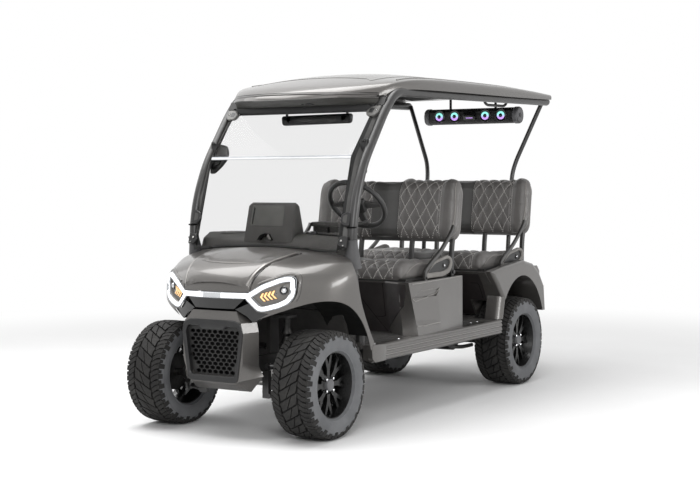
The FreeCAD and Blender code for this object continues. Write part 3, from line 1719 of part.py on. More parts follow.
def make_rear_body():
    """Box for the rear seat with a fender over each rear wheel and a liner in its arch."""
    side = d.body_half - 6
    shoulder = d.seat_half + 43
    low = d.deck_top + 8
    top = d.pod_top
    wall = 2 * d.panel_wall
    box_outline = [
        (985, low),
        (800, 690),
        (700, top),
        (1500, top),
        (1540, top - 40),
        (1540, low),
    ]
    box_hollow = [
        (1000, low - 1),
        (813, 696),
        (722, top - wall),
        (1496, top - wall),
        (1530, top - 44),
        (1530, low - 1),
    ]
    fender_outline = [
        (985, low),
        (800, 690),
        (702, top + 6),
        (900, top + 30),
        (1200, top + 54),
        (1340, top + 26),
        (1440, top - 40),
        (1520, 640),
        (1540, low),
    ]
    fender_hollow = [
        (1000, low - 1),
        (813, 696),
        (724, top - 6),
        (902, top + 20),
        (1200, top + 44),
        (1334, top + 16),
        (1430, top - 48),
        (1509, 636),
        (1529, low - 1),
    ]
    box = side_prism(box_outline, -shoulder, shoulder)
    fender = side_prism(fender_outline, shoulder - 1, side)
    round_edges = [edge for edge in fender.Edges if edge.CenterOfMass.x > side - 1]
    round_edges = [edge for edge in round_edges if edge.CenterOfMass.z > low + 1]
    fender = fender.makeFillet(24, round_edges)
    outer = fused([box] + pair(fender))
    hollows = [side_prism(box_hollow, -d.well_inner, d.well_inner)]
    hollows += pair(side_prism(box_hollow, d.well_inner - 1, shoulder - wall))
    hollows += pair(side_prism(fender_hollow, shoulder + 2, side - wall))
    shell = outer.cut(hollows)
    below = slab(Vector(0, 0, 0), Vector(FAR, FAR, low))
    room = rear_arch(0, d.well_inner, FAR)
    liner = rear_arch(wall, d.well_inner - wall, side - wall).cut([room, below])
    liner = liner.common(side_prism(fender_outline, 0, FAR))
    shell = shell.cut(pair(room))
    hatch = slab(Vector(-shoulder + 100, 800, top - 40), Vector(shoulder - 100, 1250, top + 100))
    whole = fused([shell] + pair(liner)).cut(hatch)
    shaped("rear_body", largest(whole))
    bumper_y = d.rail_rear + d.seat_gap
    rear_y = 1566
    bumper = side_prism(
        [
            (bumper_y, 372),
            (rear_y - 8, 380),
            (rear_y, 440),
            (rear_y, low - d.seat_gap),
            (bumper_y + 34, low - d.seat_gap),
            (bumper_y, 440),
        ],
        -430,
        430,
    )
    shaped("rear_bumper", bumper)
    lamp = slab(Vector(side - 168, 1540, 540), Vector(side - 120, 1552, 670))
    shaped("tail_lamps", both_sides(lamp))


def centre_on_length():
    """Moves every piece that isn't placed from the sheet by the shift."""
    shift = float(sheet.evalExpression(SHIFT.replace("dims.", "")))
    for obj in nodes:
        if obj not in placed:
            obj.Placement = Placement(Vector(0, shift, 0), Rotation()).multiply(obj.Placement)


def check_and_write():
    """Stops on any failed object, then writes each sub-part to its own file."""
    doc.recompute()
    for obj in doc.Objects:
        if "Invalid" in obj.State or "Error" in obj.State:
            raise RuntimeError("%s failed: %s" % (obj.Label, obj.State))
    for obj in nodes:
        if obj.Shape.isNull() or not obj.Shape.isValid() or not obj.Shape.Solids:
            raise RuntimeError("%s has no valid shape" % obj.Label)
    os.makedirs("parts", exist_ok=True)
    for obj in nodes:
        obj.Shape.exportStep("parts/%s.step" % obj.Label)


make_frame()
make_floor()
make_rockers()
make_battery()
make_suspension_nodes()
make_rear_axle()
make_rear_springs()
make_knuckles()
make_rack()
make_wheels()
make_front_body()
make_bumper_and_grille()
make_dashboard()
make_firewall()
make_display()
make_steering()
make_pedals()
make_canopy_frame()
make_windshield()
roof_shell = make_roof()
make_mirror(roof_shell)
make_sound_bar(roof_shell)
make_roof_handles(roof_shell)
make_pod()
make_seats()
make_seat_frames()
make_rear_body()
centre_on_length()
check_and_write()
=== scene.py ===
import math

import bmesh
import bpy
import numpy as np
from mathutils import Matrix, Vector
from mathutils.bvhtree import BVHTree


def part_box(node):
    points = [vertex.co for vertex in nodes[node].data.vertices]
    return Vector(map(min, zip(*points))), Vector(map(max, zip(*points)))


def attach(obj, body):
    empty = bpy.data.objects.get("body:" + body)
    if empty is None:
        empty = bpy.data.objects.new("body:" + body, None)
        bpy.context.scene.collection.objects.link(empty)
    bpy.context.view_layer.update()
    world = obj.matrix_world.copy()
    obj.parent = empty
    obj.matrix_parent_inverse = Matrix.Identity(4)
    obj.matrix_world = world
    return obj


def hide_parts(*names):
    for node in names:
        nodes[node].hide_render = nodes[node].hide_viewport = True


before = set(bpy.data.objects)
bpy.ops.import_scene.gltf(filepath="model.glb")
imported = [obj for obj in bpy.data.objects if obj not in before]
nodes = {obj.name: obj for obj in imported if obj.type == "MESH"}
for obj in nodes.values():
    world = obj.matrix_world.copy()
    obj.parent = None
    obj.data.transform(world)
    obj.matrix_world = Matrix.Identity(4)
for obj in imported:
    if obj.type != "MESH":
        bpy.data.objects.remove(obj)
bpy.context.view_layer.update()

# Sizes are in metres. Places are measured from the middle of the wheelbase and moved by MIDDLE.

def middle(node):
    """Centre of a node's box."""
    low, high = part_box(node)
    return (Vector(low) + Vector(high)) / 2


FRONT_HUB = middle("tyre_front_left")
REAR_HUB = middle("tyre_rear_left")
MIDDLE = (FRONT_HUB.y + REAR_HUB.y) / 2
TYRE_RADIUS = FRONT_HUB.z


def at(x, y, z):
    """A point measured from the middle of the wheelbase."""
    return Vector((x, y + MIDDLE, z))


# Camera


CAMERA_AZIMUTH = math.radians(32.24)
CAMERA_ELEVATION = math.radians(2.64)
CAMERA_ROLL = math.radians(0.31)
CAMERA_DISTANCE = 9.501
CAMERA_TARGET = (-0.421, 0.610, 0.980)
CAMERA_LENS = 72.43
CAMERA_SENSOR = 36.0


def make_camera():
    """A long lens in front of the driver's side, a little above the nose."""
    level = math.cos(CAMERA_ELEVATION)
    back = Vector(
        (
            math.sin(CAMERA_AZIMUTH) * level,
            -math.cos(CAMERA_AZIMUTH) * level,
            math.sin(CAMERA_ELEVATION),
        )
    )
    right = (-back).cross(Vector((0, 0, 1))).normalized()
    up = right.cross(-back)
    turn = Matrix.Rotation(-CAMERA_ROLL, 3, back)
    axes = Matrix((turn @ right, turn @ up, back)).transposed()
    data = bpy.data.cameras.new("camera")
    data.lens = CAMERA_LENS
    data.sensor_width = CAMERA_SENSOR
    camera = bpy.data.objects.new("camera", data)
    bpy.context.scene.collection.objects.link(camera)
    camera.matrix_world = axes.to_4x4()
    camera.location = at(*CAMERA_TARGET) + back * CAMERA_DISTANCE
    bpy.context.scene.camera = camera


# Materials


def srgb(red, green, blue):
    """A colour given in display values from 0 to 255."""
    linear = []
    for value in (red, green, blue):
        share = value / 255
        linear.append(share / 12.92 if share <= 0.04045 else ((share + 0.055) / 1.055) ** 2.4)
    return (*linear, 1.0)


class Shader:
    """A material with one main shader, and short calls that add nodes to it."""

    def __init__(self, name):
        self.material = bpy.data.materials.new(name)
        self.material.use_nodes = True
        self.tree = self.material.node_tree
        self.tree.nodes.clear()
        self.output = self.add("ShaderNodeOutputMaterial")
        self.main = self.add("ShaderNodeBsdfPrincipled")
        self.join(self.main, "BSDF", self.output, "Surface")
        self.place = self.add("ShaderNodeTexCoord")

    def add(self, kind, **values):
        """A new node with some of its settings."""
        node = self.tree.nodes.new(kind)
        for key, value in values.items():
            setattr(node, key, value)
        return node

    def join(self, source, output, target, socket):
        """Joins an output of one node to an input of another."""
        self.tree.links.new(source.outputs[output], target.inputs[socket])

    def set(self, **values):
        """Sets sockets of the main shader, named with underscores for spaces."""
        for key, value in values.items():
            self.main.inputs[key.replace("_", " ")].default_value = value
        return self

    def noise(self, scale, detail=3.0, rough=0.55):
        """Soft noise that stays with the piece."""
        node = self.add("ShaderNodeTexNoise")
        node.inputs["Scale"].default_value = scale
        node.inputs["Detail"].default_value = detail
        node.inputs["Roughness"].default_value = rough
        self.join(self.place, "Object", node, "Vector")
        return node

    def cells(self, scale, feature="F1"):
        """Cells that stay with the piece."""
        node = self.add("ShaderNodeTexVoronoi", feature=feature)
        node.inputs["Scale"].default_value = scale
        self.join(self.place, "Object", node, "Vector")
        return node

    def ramp(self, source, output, low, high, colour_low, colour_high):
        """Maps a range of values to the colours between two given ones."""
        node = self.add("ShaderNodeValToRGB")
        node.color_ramp.elements[0].position = low
        node.color_ramp.elements[0].color = colour_low
        node.color_ramp.elements[1].position = high
        node.color_ramp.elements[1].color = colour_high
        self.join(source, output, node, "Fac")
        return node

    def spread(self, source, output, low, high):
        """Maps 0..1 to a range of numbers."""
        node = self.add("ShaderNodeMapRange")
        node.inputs["To Min"].default_value = low
        node.inputs["To Max"].default_value = high
        self.join(source, output, node, "Value")
        return node

    def bump(self, source, output, distance, strength, previous=None):
        """Lets a texture drive the fine relief, on top of an earlier one if given."""
        node = self.add("ShaderNodeBump")
        node.inputs["Distance"].default_value = distance
        node.inputs["Strength"].default_value = strength
        self.join(source, output, node, "Height")
        if previous is not None:
            self.join(previous, "Normal", node, "Normal")
        self.join(node, "Normal", self.main, "Normal")
        return node

    def vary(self, source, output, low, high, colour_low, colour_high):
        """Lets a texture drive the base colour."""
        ramp = self.ramp(source, output, low, high, colour_low, colour_high)
        self.join(ramp, "Color", self.main, "Base Color")

    def worn(self, source, output, low, high):
        """Lets a texture drive the roughness."""
        node = self.spread(source, output, low, high)
        self.join(node, "Result", self.main, "Roughness")


def paint(name, dark, light):
    """Metallic paint: fine flakes under a clear coat."""
    shader = Shader(name).set(Metallic=0.55, Coat_Weight=0.6, Coat_Roughness=0.09)
    flakes = shader.cells(2600)
    shader.vary(flakes, "Distance", 0.1, 0.75, light, dark)
    shader.worn(shader.noise(9.0, 4.0), "Fac", 0.3, 0.42)
    shader.bump(flakes, "Distance", 0.00002, 0.35)
    return shader.material


def plastic(name, dark, light, rough_low, rough_high, shine=0.4, coat=0.0):
    """Moulded plastic with a fine grain."""
    shader = Shader(name).set(Coat_Weight=coat, Coat_Roughness=0.1, Specular_IOR_Level=shine)
    shader.vary(shader.noise(14.0, 5.0), "Fac", 0.35, 0.7, dark, light)
    shader.worn(shader.noise(23.0, 4.0), "Fac", rough_low, rough_high)
    shader.bump(shader.cells(420.0), "Distance", 0.0002, 0.6)
    return shader.material


def metal(name, dark, light, rough_low, rough_high):
    """Bare metal with a slightly uneven finish."""
    shader = Shader(name).set(Metallic=1.0)
    shader.vary(shader.noise(60.0, 6.0), "Fac", 0.3, 0.75, dark, light)
    shader.worn(shader.noise(36.0, 5.0), "Fac", rough_low, rough_high)
    shader.bump(shader.noise(540.0, 3.0), "Fac", 0.0001, 0.5)
    return shader.material


def powder(name, dark, light, rough_low, rough_high):
    """Powder coat with its orange-peel surface."""
    shader = Shader(name).set(Coat_Weight=0.25, Coat_Roughness=0.25)
    shader.vary(shader.noise(11.0, 5.0), "Fac", 0.3, 0.75, dark, light)
    shader.worn(shader.noise(31.0, 4.0), "Fac", rough_low, rough_high)
    shader.bump(shader.noise(900.0, 2.0), "Fac", 0.0002, 0.5)
    return shader.material


def rubber(name, dark, light, dusty):
    """Tyre rubber, paler where dust has settled."""
    shader = Shader(name).set(Specular_IOR_Level=0.35)
    shader.vary(shader.noise(dusty, 6.0, 0.65), "Fac", 0.35, 0.72, dark, light)
    shader.worn(shader.noise(40.0, 4.0), "Fac", 0.62, 0.85)
    fine = shader.bump(shader.noise(700.0, 3.0), "Fac", 0.0003, 0.6)
    shader.bump(shader.noise(90.0, 3.0), "Fac", 0.0006, 0.35, fine)
    return shader.material


def leather(name, dark, light):
    """Upholstery with a pebbled grain."""
    shader = Shader(name).set(Sheen_Weight=0.15, Sheen_Roughness=0.4, Coat_Weight=0.08)
    shader.vary(shader.noise(7.0, 5.0), "Fac", 0.3, 0.75, dark, light)
    shader.worn(shader.noise(19.0, 4.0), "Fac", 0.38, 0.52)
    pebbles = shader.bump(shader.cells(520.0, "SMOOTH_F1"), "Distance", 0.0005, 0.5)
    shader.bump(shader.noise(55.0, 4.0), "Fac", 0.0012, 0.25, pebbles)
    return shader.material


def glowing(name, base, colour, strength):
    """A lit diffuser: its own light over a pale plastic."""
    shader = Shader(name).set(Emission_Color=colour, Emission_Strength=strength, Roughness=0.3)
    shader.vary(shader.noise(60.0, 2.0), "Fac", 0.3, 0.7, base, colour)
    return shader.material


def two_tone(name, high, low, bottom, top):
    """A lit ring that goes from one colour at its top to another at its foot."""
    shader = Shader(name).set(Emission_Strength=0.9, Roughness=0.3)
    split = shader.add("ShaderNodeSeparateXYZ")
    shader.join(shader.place, "Object", split, "Vector")
    level = shader.add("ShaderNodeMapRange")
    level.inputs["From Min"].default_value = bottom
    level.inputs["From Max"].default_value = top
    shader.join(split, "Z", level, "Value")
    ramp = shader.ramp(level, "Result", 0.3, 0.7, low, high)
    shader.join(ramp, "Color", shader.main, "Base Color")
    shader.join(ramp, "Color", shader.main, "Emission Color")
    return shader.material


def clear(name, colour, rough):
    """Thin clear plastic or glass, lightly tinted and faintly smeared."""
    shader = Shader(name).set(IOR=1.06, Alpha=1.0, Transmission_Weight=1.0, Base_Color=colour)
    shader.worn(shader.noise(3.0, 6.0, 0.7), "Fac", rough, rough + 0.03)
    return shader.material


FINISHES = {
    "paint": (paint, "graphite_paint", (80, 78, 76), (108, 105, 102)),
    # A lighter copy of the body paint: painted highlight along the hood's chamfers and crease, the seat
    # pod's lips and the running-board ribs.
    "painted_highlight": (paint, "graphite_edge", (124, 121, 118), (156, 153, 149)),
    # A darker copy of the body paint: painted shade on the roof's front lips and along the running-board
    # ribs.
    "painted_shade": (paint, "graphite_shade", (58, 56, 54), (74, 71, 69)),
    "panel": (plastic, "pod_panel", (36, 33, 33), (46, 42, 42), 0.4, 0.55),
    "panel_edge": (plastic, "pod_panel_edge", (20, 19, 19), (27, 26, 26), 0.4, 0.5),
    "guard": (plastic, "guard_grey", (112, 109, 106), (128, 125, 121), 0.38, 0.5),
    "bar_grey": (powder, "bar_grey", (42, 41, 40), (55, 54, 52), 0.28, 0.4),
    "visor": (plastic, "visor", (60, 60, 57), (70, 69, 66), 0.55, 0.7),
    "seam_white": (plastic, "seam_white", (238, 240, 242), (248, 249, 250), 0.3, 0.4),
    "seam_grey": (plastic, "seam_grey", (168, 170, 178), (186, 188, 194), 0.3, 0.4),
    "seam_pale": (plastic, "seam_pale", (208, 210, 212), (222, 224, 226), 0.3, 0.4),
    "rubber_black": (rubber, "strip_rubber", (20, 20, 20), (30, 30, 29), 12.0),
    "clip_grey": (plastic, "clip_grey", (58, 58, 57), (74, 73, 71), 0.35, 0.5),
    "clip_pale": (plastic, "clip_pale", (98, 97, 95), (114, 113, 110), 0.4, 0.5),
    "mirror_grey": (plastic, "mirror_grey", (62, 62, 61), (76, 75, 74), 0.2, 0.3),
    "dash_dark": (plastic, "dash_dark", (42, 41, 40), (52, 51, 49), 0.5, 0.62),
    "boot": (plastic, "pillar_boot", (66, 66, 67), (80, 80, 81), 0.4, 0.52),
    "wheel_black": (leather, "wheel_grip", (24, 24, 24), (34, 34, 33)),
    "wheel_grey": (plastic, "wheel_spoke", (52, 52, 52), (66, 65, 64), 0.35, 0.5),
    "dash_light": (plastic, "dash_inset", (74, 74, 71), (86, 85, 82), 0.5, 0.62),
    "liner": (plastic, "arch_liner", (16, 16, 16), (24, 24, 23), 0.7, 0.85, 0.15),
    "ring_light": (two_tone, "ring_light", (150, 240, 228), (196, 150, 240), 1.79, 1.85),
    "plastic": (plastic, "black_plastic", (34, 34, 34), (44, 43, 42), 0.45, 0.6),
    "dash": (plastic, "dash_plastic", (58, 57, 55), (68, 66, 64), 0.5, 0.66),
    "gloss": (plastic, "gloss_black", (12, 12, 12), (20, 20, 20), 0.12, 0.22, 0.4, 0.8),
    "powder": (powder, "black_powder_coat", (28, 27, 27), (40, 39, 38), 0.34, 0.46),
    "steel": (metal, "machined_steel", (130, 130, 130), (176, 175, 172), 0.22, 0.4),
    "iron": (metal, "dark_iron", (38, 38, 38), (58, 57, 56), 0.4, 0.6),
    "rim": (plastic, "rim_black", (10, 10, 10), (17, 17, 17), 0.2, 0.3, 0.3, 0.2),
    "cap": (plastic, "rim_cap", (88, 88, 90), (106, 106, 108), 0.35, 0.5),
    "tread": (rubber, "tread_rubber", (24, 23, 23), (45, 44, 42), 9.0),
    # A darker copy of the tread rubber: painted shade on the floor of the grooves.
    "tread_base": (rubber, "tread_base", (13, 13, 13), (23, 22, 22), 9.0),
    # Rubber lighter than the tread: partly its own grey and partly a painted sheen on the bulging sidewall.
    "sidewall": (rubber, "sidewall_rubber", (90, 91, 93), (113, 114, 116), 5.0),
    "leather": (leather, "grey_leather", (87, 85, 83), (106, 103, 101)),
    "leather_dark": (leather, "dark_leather", (56, 55, 54), (70, 69, 67)),
    # Pale thread: partly its own colour and partly a painted highlight on the stitches.
    "thread": (leather, "thread", (218, 214, 210), (240, 236, 232)),
    "piping": (leather, "piping", (120, 116, 112), (140, 136, 131)),
    "rubber": (rubber, "mat_rubber", (52, 51, 50), (70, 68, 66), 4.0),
    "white": (glowing, "white_diffuser", (225, 228, 232), (250, 252, 255), 0.75),
    "amber": (glowing, "amber_diffuser", (240, 200, 150), (255, 205, 140), 0.6),
    "red": (glowing, "red_diffuser", (130, 14, 12), (170, 18, 16), 0.15),
    # Grey strips along both edges of the lit tubes: painted shade for their rounded flanks.
    "tube_edge_painted_shade": (plastic, "lamp_edge", (150, 152, 155), (172, 174, 176), 0.3, 0.4),
    "lamp_face": (plastic, "lamp_face", (112, 109, 105), (128, 125, 121), 0.3, 0.42),
    "amber_edge": (plastic, "amber_edge", (84, 66, 50), (100, 80, 60), 0.4, 0.5),
    "badge": (plastic, "plain_plate", (196, 198, 200), (210, 212, 214), 0.3, 0.4),
    "chrome": (metal, "chrome", (205, 206, 208), (222, 223, 225), 0.05, 0.12),
    "mirror": (metal, "mirror_glass", (215, 218, 220), (228, 230, 232), 0.02, 0.05),
    "frame_black": (plastic, "frame_black", (30, 30, 31), (38, 38, 38), 0.3, 0.42),
    # Near-black with little shine: the colour of a few small black parts, such as the dash catch, and
    # painted shade in gaps, grooves, slots and openings and on the sheets behind the grille and the nose
    # panels.
    "void": (plastic, "void", (9, 9, 9), (13, 13, 13), 0.75, 0.9, 0.1),
}


def make_materials():
    """Every finish of the cart by its short name."""
    found = {}
    for finish, (kind, name, first, second, *rest) in FINISHES.items():
        found[finish] = kind(name, srgb(*first), srgb(*second), *rest)
    found["glass"] = clear("windshield_glass", srgb(236, 236, 236), 0.0)
    found["lens"] = clear("lamp_lens", srgb(235, 238, 240), 0.02)
    return found


finish_of = make_materials()

NODE_FINISH = {
    "powder": (
        "main_frame front_wishbones spring_towers front_pillars rear_struts rear_springs "
        "seat_frames steering_column front_cross_members"
    ),
    "paint": "front_cowl hood_panel front_bumper roof seat_pod rear_body rocker_panels",
    "plastic": (
        "battery_pack grille firewall windshield_clips roof_header sound_bar grab_handles "
        "seat_board_front seat_board_rear seat_guards rear_bumper pedals steering_wheel"
    ),
    "dash": "dashboard display_pod",
    "gloss": "nose_panels speakers",
    "steel": "knuckle_left knuckle_right steering_rack tie_bar",
    "iron": "rear_axle front_springs",
    "rim": "rim_front_left rim_front_right rim_rear_left rim_rear_right",
    "tread": "tyre_front_left tyre_front_right tyre_rear_left tyre_rear_right",
    "leather": "seat_bottom_front seat_bottom_rear seat_back_front seat_back_rear",
    "rubber": "floor_deck",
    "white": "light_band",
    "red": "tail_lamps",
    "glass": "windshield_lower windshield_upper",
    "lens": "headlamps",
    "mirror": "rear_view_mirror",
}


def dress_nodes():
    """Gives each node of the frame its finish."""
    for finish, names in NODE_FINISH.items():
        for name in names.split():
            data = nodes[name].data
            data.materials.clear()
            data.materials.append(finish_of[finish])


dress_nodes()


# Shapes


def rounded(outline, radius, steps=4):
    """A closed flat outline with its corners rounded."""
    result = []
    corners = [Vector(corner) for corner in outline]
    for index, here in enumerate(corners):
        before = corners[index - 1] - here
        after = corners[(index + 1) % len(corners)] - here
        reach = min(radius, before.length * 0.49, after.length * 0.49)
        start = here + before.normalized() * reach
        end = here + after.normalized() * reach
        for step in range(steps + 1):
            share = step / steps
            bend = here * 2 * share * (1 - share)
            result.append(start * (1 - share) ** 2 + bend + end * share**2)
    return result


def inset(outline, distance):
    """A closed flat outline moved inward, with its corners mitred."""
    count = len(outline)
    area = 0.0
    for index, here in enumerate(outline):
        after = outline[(index + 1) % count]
        area += here.x * after.y - here.y * after.x
    side = 1 if area > 0 else -1
    result = []
    for index, here in enumerate(outline):
        along = (here - outline[index - 1]).normalized()
        onward = (outline[(index + 1) % count] - here).normalized()
        first = Vector((-along.y, along.x)) * side
        second = Vector((-onward.y, onward.x)) * side
        middle_way = (first + second).normalized()
        result.append(here + middle_way * (distance / max(0.4, middle_way.dot(first))))
    return result


def both_sides(half):
    """A closed outline, from the half of it on one side of the middle."""
    return half + [(-x, z) for x, z in reversed(half)]


def circle(radius, count):
    """A flat ring of points."""
    angles = [2 * math.pi * index / count for index in range(count)]
    return [Vector((math.cos(angle), math.sin(angle))) * radius for angle in angles]


def bands(rings, loop=False, closed=True):
    """Faces between rings that have the same number of points."""
    count = len(rings[0])
    points = [point for ring in rings for point in ring]
    faces = []
    for level in range(len(rings) if loop else len(rings) - 1):
        low = level * count
        high = (level + 1) % len(rings) * count
        for index in range(count if closed else count - 1):
            onward = (index + 1) % count
            faces.append((low + index, low + onward, high + onward, high + index))
    return points, faces


def capped(rings, foot=True, top=True):
    """Faces between rings, with the first and the last ring closed."""
    points, faces = bands(rings)
    count = len(rings[0])
    if foot:
        faces.append(tuple(reversed(range(count))))
    if top:
        faces.append(tuple(range(len(points) - count, len(points))))
    return points, faces


def joined(*shapes):
    """Several shapes as one."""
    points = []
    faces = []
    for more, extra in shapes:
        start = len(points)
        points = points + more
        faces = faces + [tuple(start + index for index in face) for face in extra]
    return points, faces


def relief(outline, profile, place, foot=True, top=True):
    """Rings of an outline, each with its own inset and height, put in place by a function."""
    corners = [Vector(corner) for corner in outline]
    rings = []
    for distance, height in profile:
        ring = inset(corners, distance) if distance else corners
        rings.append([place(corner.x, corner.y, height) for corner in ring])
    return capped(rings, foot, top)


def moulded(outline, radius, steps, profile, place):
    """A relief of an outline with rounded corners."""
    return relief(rounded(outline, radius, steps), profile, place)


def inlay(low, high):
    """The profile of a plain sheet between two heights."""
    return [(0.0, low), (0.0, high)]


def slab(low, high, under=0.003, over=0.004):
    """The profile of a plate with eased edges below and above."""
    return [(under, low), (0.0, low + 0.004), (0.0, high - over), (over, high)]


def collar(outer, inner, profile, place, closed=False):
    """Rings between two outlines: each has its share of the way inward and a height."""
    rings = []
    for share, height in profile:
        ring = [Vector(a).lerp(Vector(b), share) for a, b in zip(outer, inner)]
        rings.append([place(corner.x, corner.y, height) for corner in ring])
    return bands(rings, loop=closed)


def sweep(path, profile, ups, loop=False):
    """A profile of (aside, outward) pairs carried along a path, with mitred corners."""
    path = [Vector(place) for place in path]
    count = len(path)
    rings = []
    for index, place in enumerate(path):
        up = ups[index] if isinstance(ups, list) else Vector(ups)
        legs = []
        if index or loop:
            legs.append((place - path[index - 1]).normalized())
        if index < count - 1 or loop:
            legs.append((path[(index + 1) % count] - place).normalized())
        tangent = sum(legs, Vector()).normalized()
        stretch = 1 / max(0.5, tangent.dot(legs[0]))
        aside = tangent.cross(up).normalized()
        out = aside.cross(tangent)
        rings.append([place + aside * a * stretch + out * b for a, b in profile])
    return bands(rings, loop=True) if loop else capped(rings)


def dome(half_width, height, count=7, foot=0.002):
    """The section of a half-round strip, with its foot sunk a little."""
    arc = [math.pi * index / (count - 1) for index in range(count)]
    section = [(half_width * math.cos(angle), height * math.sin(angle)) for angle in arc]
    return [(half_width, -foot), *section, (-half_width, -foot)]


def bar(half_width, low, high, edge=0.001):
    """The section of a flat strip with eased upper edges."""
    return [
        (half_width, low),
        (half_width, high - edge),
        (half_width - edge, high),
        (edge - half_width, high),
        (-half_width, high - edge),
        (-half_width, low),
    ]


def curve(points, count):
    """Evenly shared points on a smooth line through the given ones."""
    given = [Vector(point) for point in points]
    spans = len(given) - 1
    result = []
    for index in range(count):
        share = index / (count - 1) * spans
        span = min(int(share), spans - 1)
        t = share - span
        a = given[max(0, span - 1)]
        b = given[span]
        c = given[span + 1]
        d = given[min(spans, span + 2)]
        rise = (c - a) * 0.5
        fall = (d - b) * 0.5
        result.append(
            b * (2 * t**3 - 3 * t**2 + 1)
            + rise * (t**3 - 2 * t**2 + t)
            + c * (3 * t**2 - 2 * t**3)
            + fall * (t**3 - t**2)
        )
    return result


def tube(path, radius, sides=10, loop=False):
    """A round tube along a path, which may have a radius for each point."""
    path = [Vector(place) for place in path]
    count = len(path)
    rings = []
    side = None
    for index, place in enumerate(path):
        before = path[index - 1] if index or loop else place
        after = path[(index + 1) % count] if index < count - 1 or loop else place
        tangent = (after - before).normalized()
        if side is None:
            side = across_of(tangent)
        side = (side - tangent * side.dot(tangent)).normalized()
        other = tangent.cross(side)
        size = radius[index] if isinstance(radius, list) else radius
        rings.append([place + side * p.x + other * p.y for p in circle(size, sides)])
    return bands(rings, loop=True) if loop else capped(rings)


def across_of(axis):
    """A direction square to an axis."""
    guess = Vector((0, 0, 1)) if abs(axis.z) < 0.8 else Vector((0, 1, 0))
    return axis.cross(guess).normalized()


def turned_rings(profile, centre, axis, count):
    """Rings of points round an axis for pairs of (place along the axis, radius)."""
    axis = Vector(axis).normalized()
    side = across_of(axis)
    other = axis.cross(side)
    rings = []
    for along, radius in profile:
        ring = circle(max(radius, 1e-5), count)
        rings.append([Vector(centre) + axis * along + side * p.x + other * p.y for p in ring])
    return rings


def turned(profile, centre, axis, count=48):
    """A solid of revolution."""
    return capped(turned_rings(profile, centre, axis, count))


def block(low, high, edge=0.003):
    """A box between two corners with rounded edges."""
    low = Vector(low)
    high = Vector(high)
    half = (high - low) / 2
    shape = bmesh.new()
    bmesh.ops.create_cube(shape, size=2.0)
    bmesh.ops.scale(shape, vec=half, verts=shape.verts)
    reach = min(edge, min(half) * 0.8)
    bmesh.ops.bevel(shape, geom=shape.edges[:], offset=reach, segments=2, affect="EDGES", profile=0.6)
    bmesh.ops.translate(shape, vec=(low + high) / 2, verts=shape.verts)
    shape.verts.index_update()
    points = [vertex.co.copy() for vertex in shape.verts]
    faces = [tuple(vertex.index for vertex in face.verts) for face in shape.faces]
    shape.free()
    return points, faces


def plane(origin, across, up):
    """Puts flat coordinates and a height on a plane in space."""
    across = Vector(across).normalized()
    up = Vector(up).normalized()
    out = across.cross(up).normalized()
    return lambda a, b, height: origin + across * a + up * b + out * height


def side_plane(x, side=1):
    """Puts (y, z, height) on an upright plane that faces away from the middle."""
    return lambda y, z, height: at(side * (x + height), y, z)


def front_plane(y, facing=-1):
    """Puts (x, z, height) on an upright plane that faces forward, or backward."""
    return lambda x, z, height: at(x, y + facing * height, z)


def level_line(half, level, steps):
    """Evenly spaced (x, level) pairs from one side to the other."""
    return [(half * (index / steps - 1), level) for index in range(2 * steps + 1)]


def looked_up(table, value):
    """The second number of a table of pairs, between its rows, for a given first number."""
    for (near, first), (far, second) in zip(table, table[1:]):
        if value <= far:
            return first + (second - first) * max(0.0, (value - near) / (far - near))
    return table[-1][1]


def ease(value, low, high):
    """Smooth step from 0 to 1 as the value goes from low to high."""
    share = min(1.0, max(0.0, (value - low) / (high - low)))
    return share * share * (3 - 2 * share)


def spaced(line, count):
    """Evenly spaced points along a line of straight parts."""
    line = [Vector(point) for point in line]
    reached = [0.0]
    for here, after in zip(line, line[1:]):
        reached.append(reached[-1] + (after - here).length)
    result = []
    part = 0
    for index in range(count):
        goal = reached[-1] * index / (count - 1)
        while part < len(line) - 2 and reached[part + 1] < goal:
            part += 1
        share = (goal - reached[part]) / max(1e-9, reached[part + 1] - reached[part])
        result.append(line[part].lerp(line[part + 1], min(1.0, share)))
    return result


def between(first, second, rows, columns):
    """Rows of flat points that run from one line to another."""
    pairs = zip(spaced(first, rows + 1), spaced(second, rows + 1))
    return [[a.lerp(b, column / columns) for column in range(columns + 1)] for a, b in pairs]


def border(rows):
    """The points round the edge of a grid."""
    left = [row[0] for row in rows[1:-1]]
    right = [row[-1] for row in rows[1:-1]]
    return rows[0] + right + rows[-1][::-1] + left[::-1]


def skirted(top, low):
    """A sheet with a skirt down to a second grid of points."""
    return joined(bands(top, closed=False), bands([border(top), border(low)]))


def shell(top, low):
    """A closed sheet between two grids of points."""
    return joined(bands(top, closed=False), bands(low, closed=False), bands([border(top), border(low)]))


def laid(place, rows, height, sink=0.003):
    """A thin sheet laid on a surface, with a skirt round its edge."""
    top = [[place(point.x, point.y, height) for point in row] for row in rows]
    low = [[place(point.x, point.y, -sink) for point in row] for row in rows]
    return skirted(top, low)


def plate(rows, out, half):
    """A sheet with some thickness through rows of points."""
    out = Vector(out).normalized() * half
    top = [[point + out for point in row] for row in rows]
    low = [[point - out for point in row] for row in rows]
    return shell(top, low)


def bolt(form, spot, axis, radius, finish="steel"):
    """A domed bolt head on its washer."""
    washer = [(-0.002, radius * 1.5), (0.0015, radius * 1.5), (0.002, radius * 1.35)]
    form.add(turned(washer, spot, axis, 20), "iron")
    head = [(0.001, radius), (radius * 0.5, radius * 0.92)]
    head += [(radius * 0.75, radius * 0.6), (radius * 0.8, 0.001)]
    form.add(turned(head, spot, axis, 16), finish)


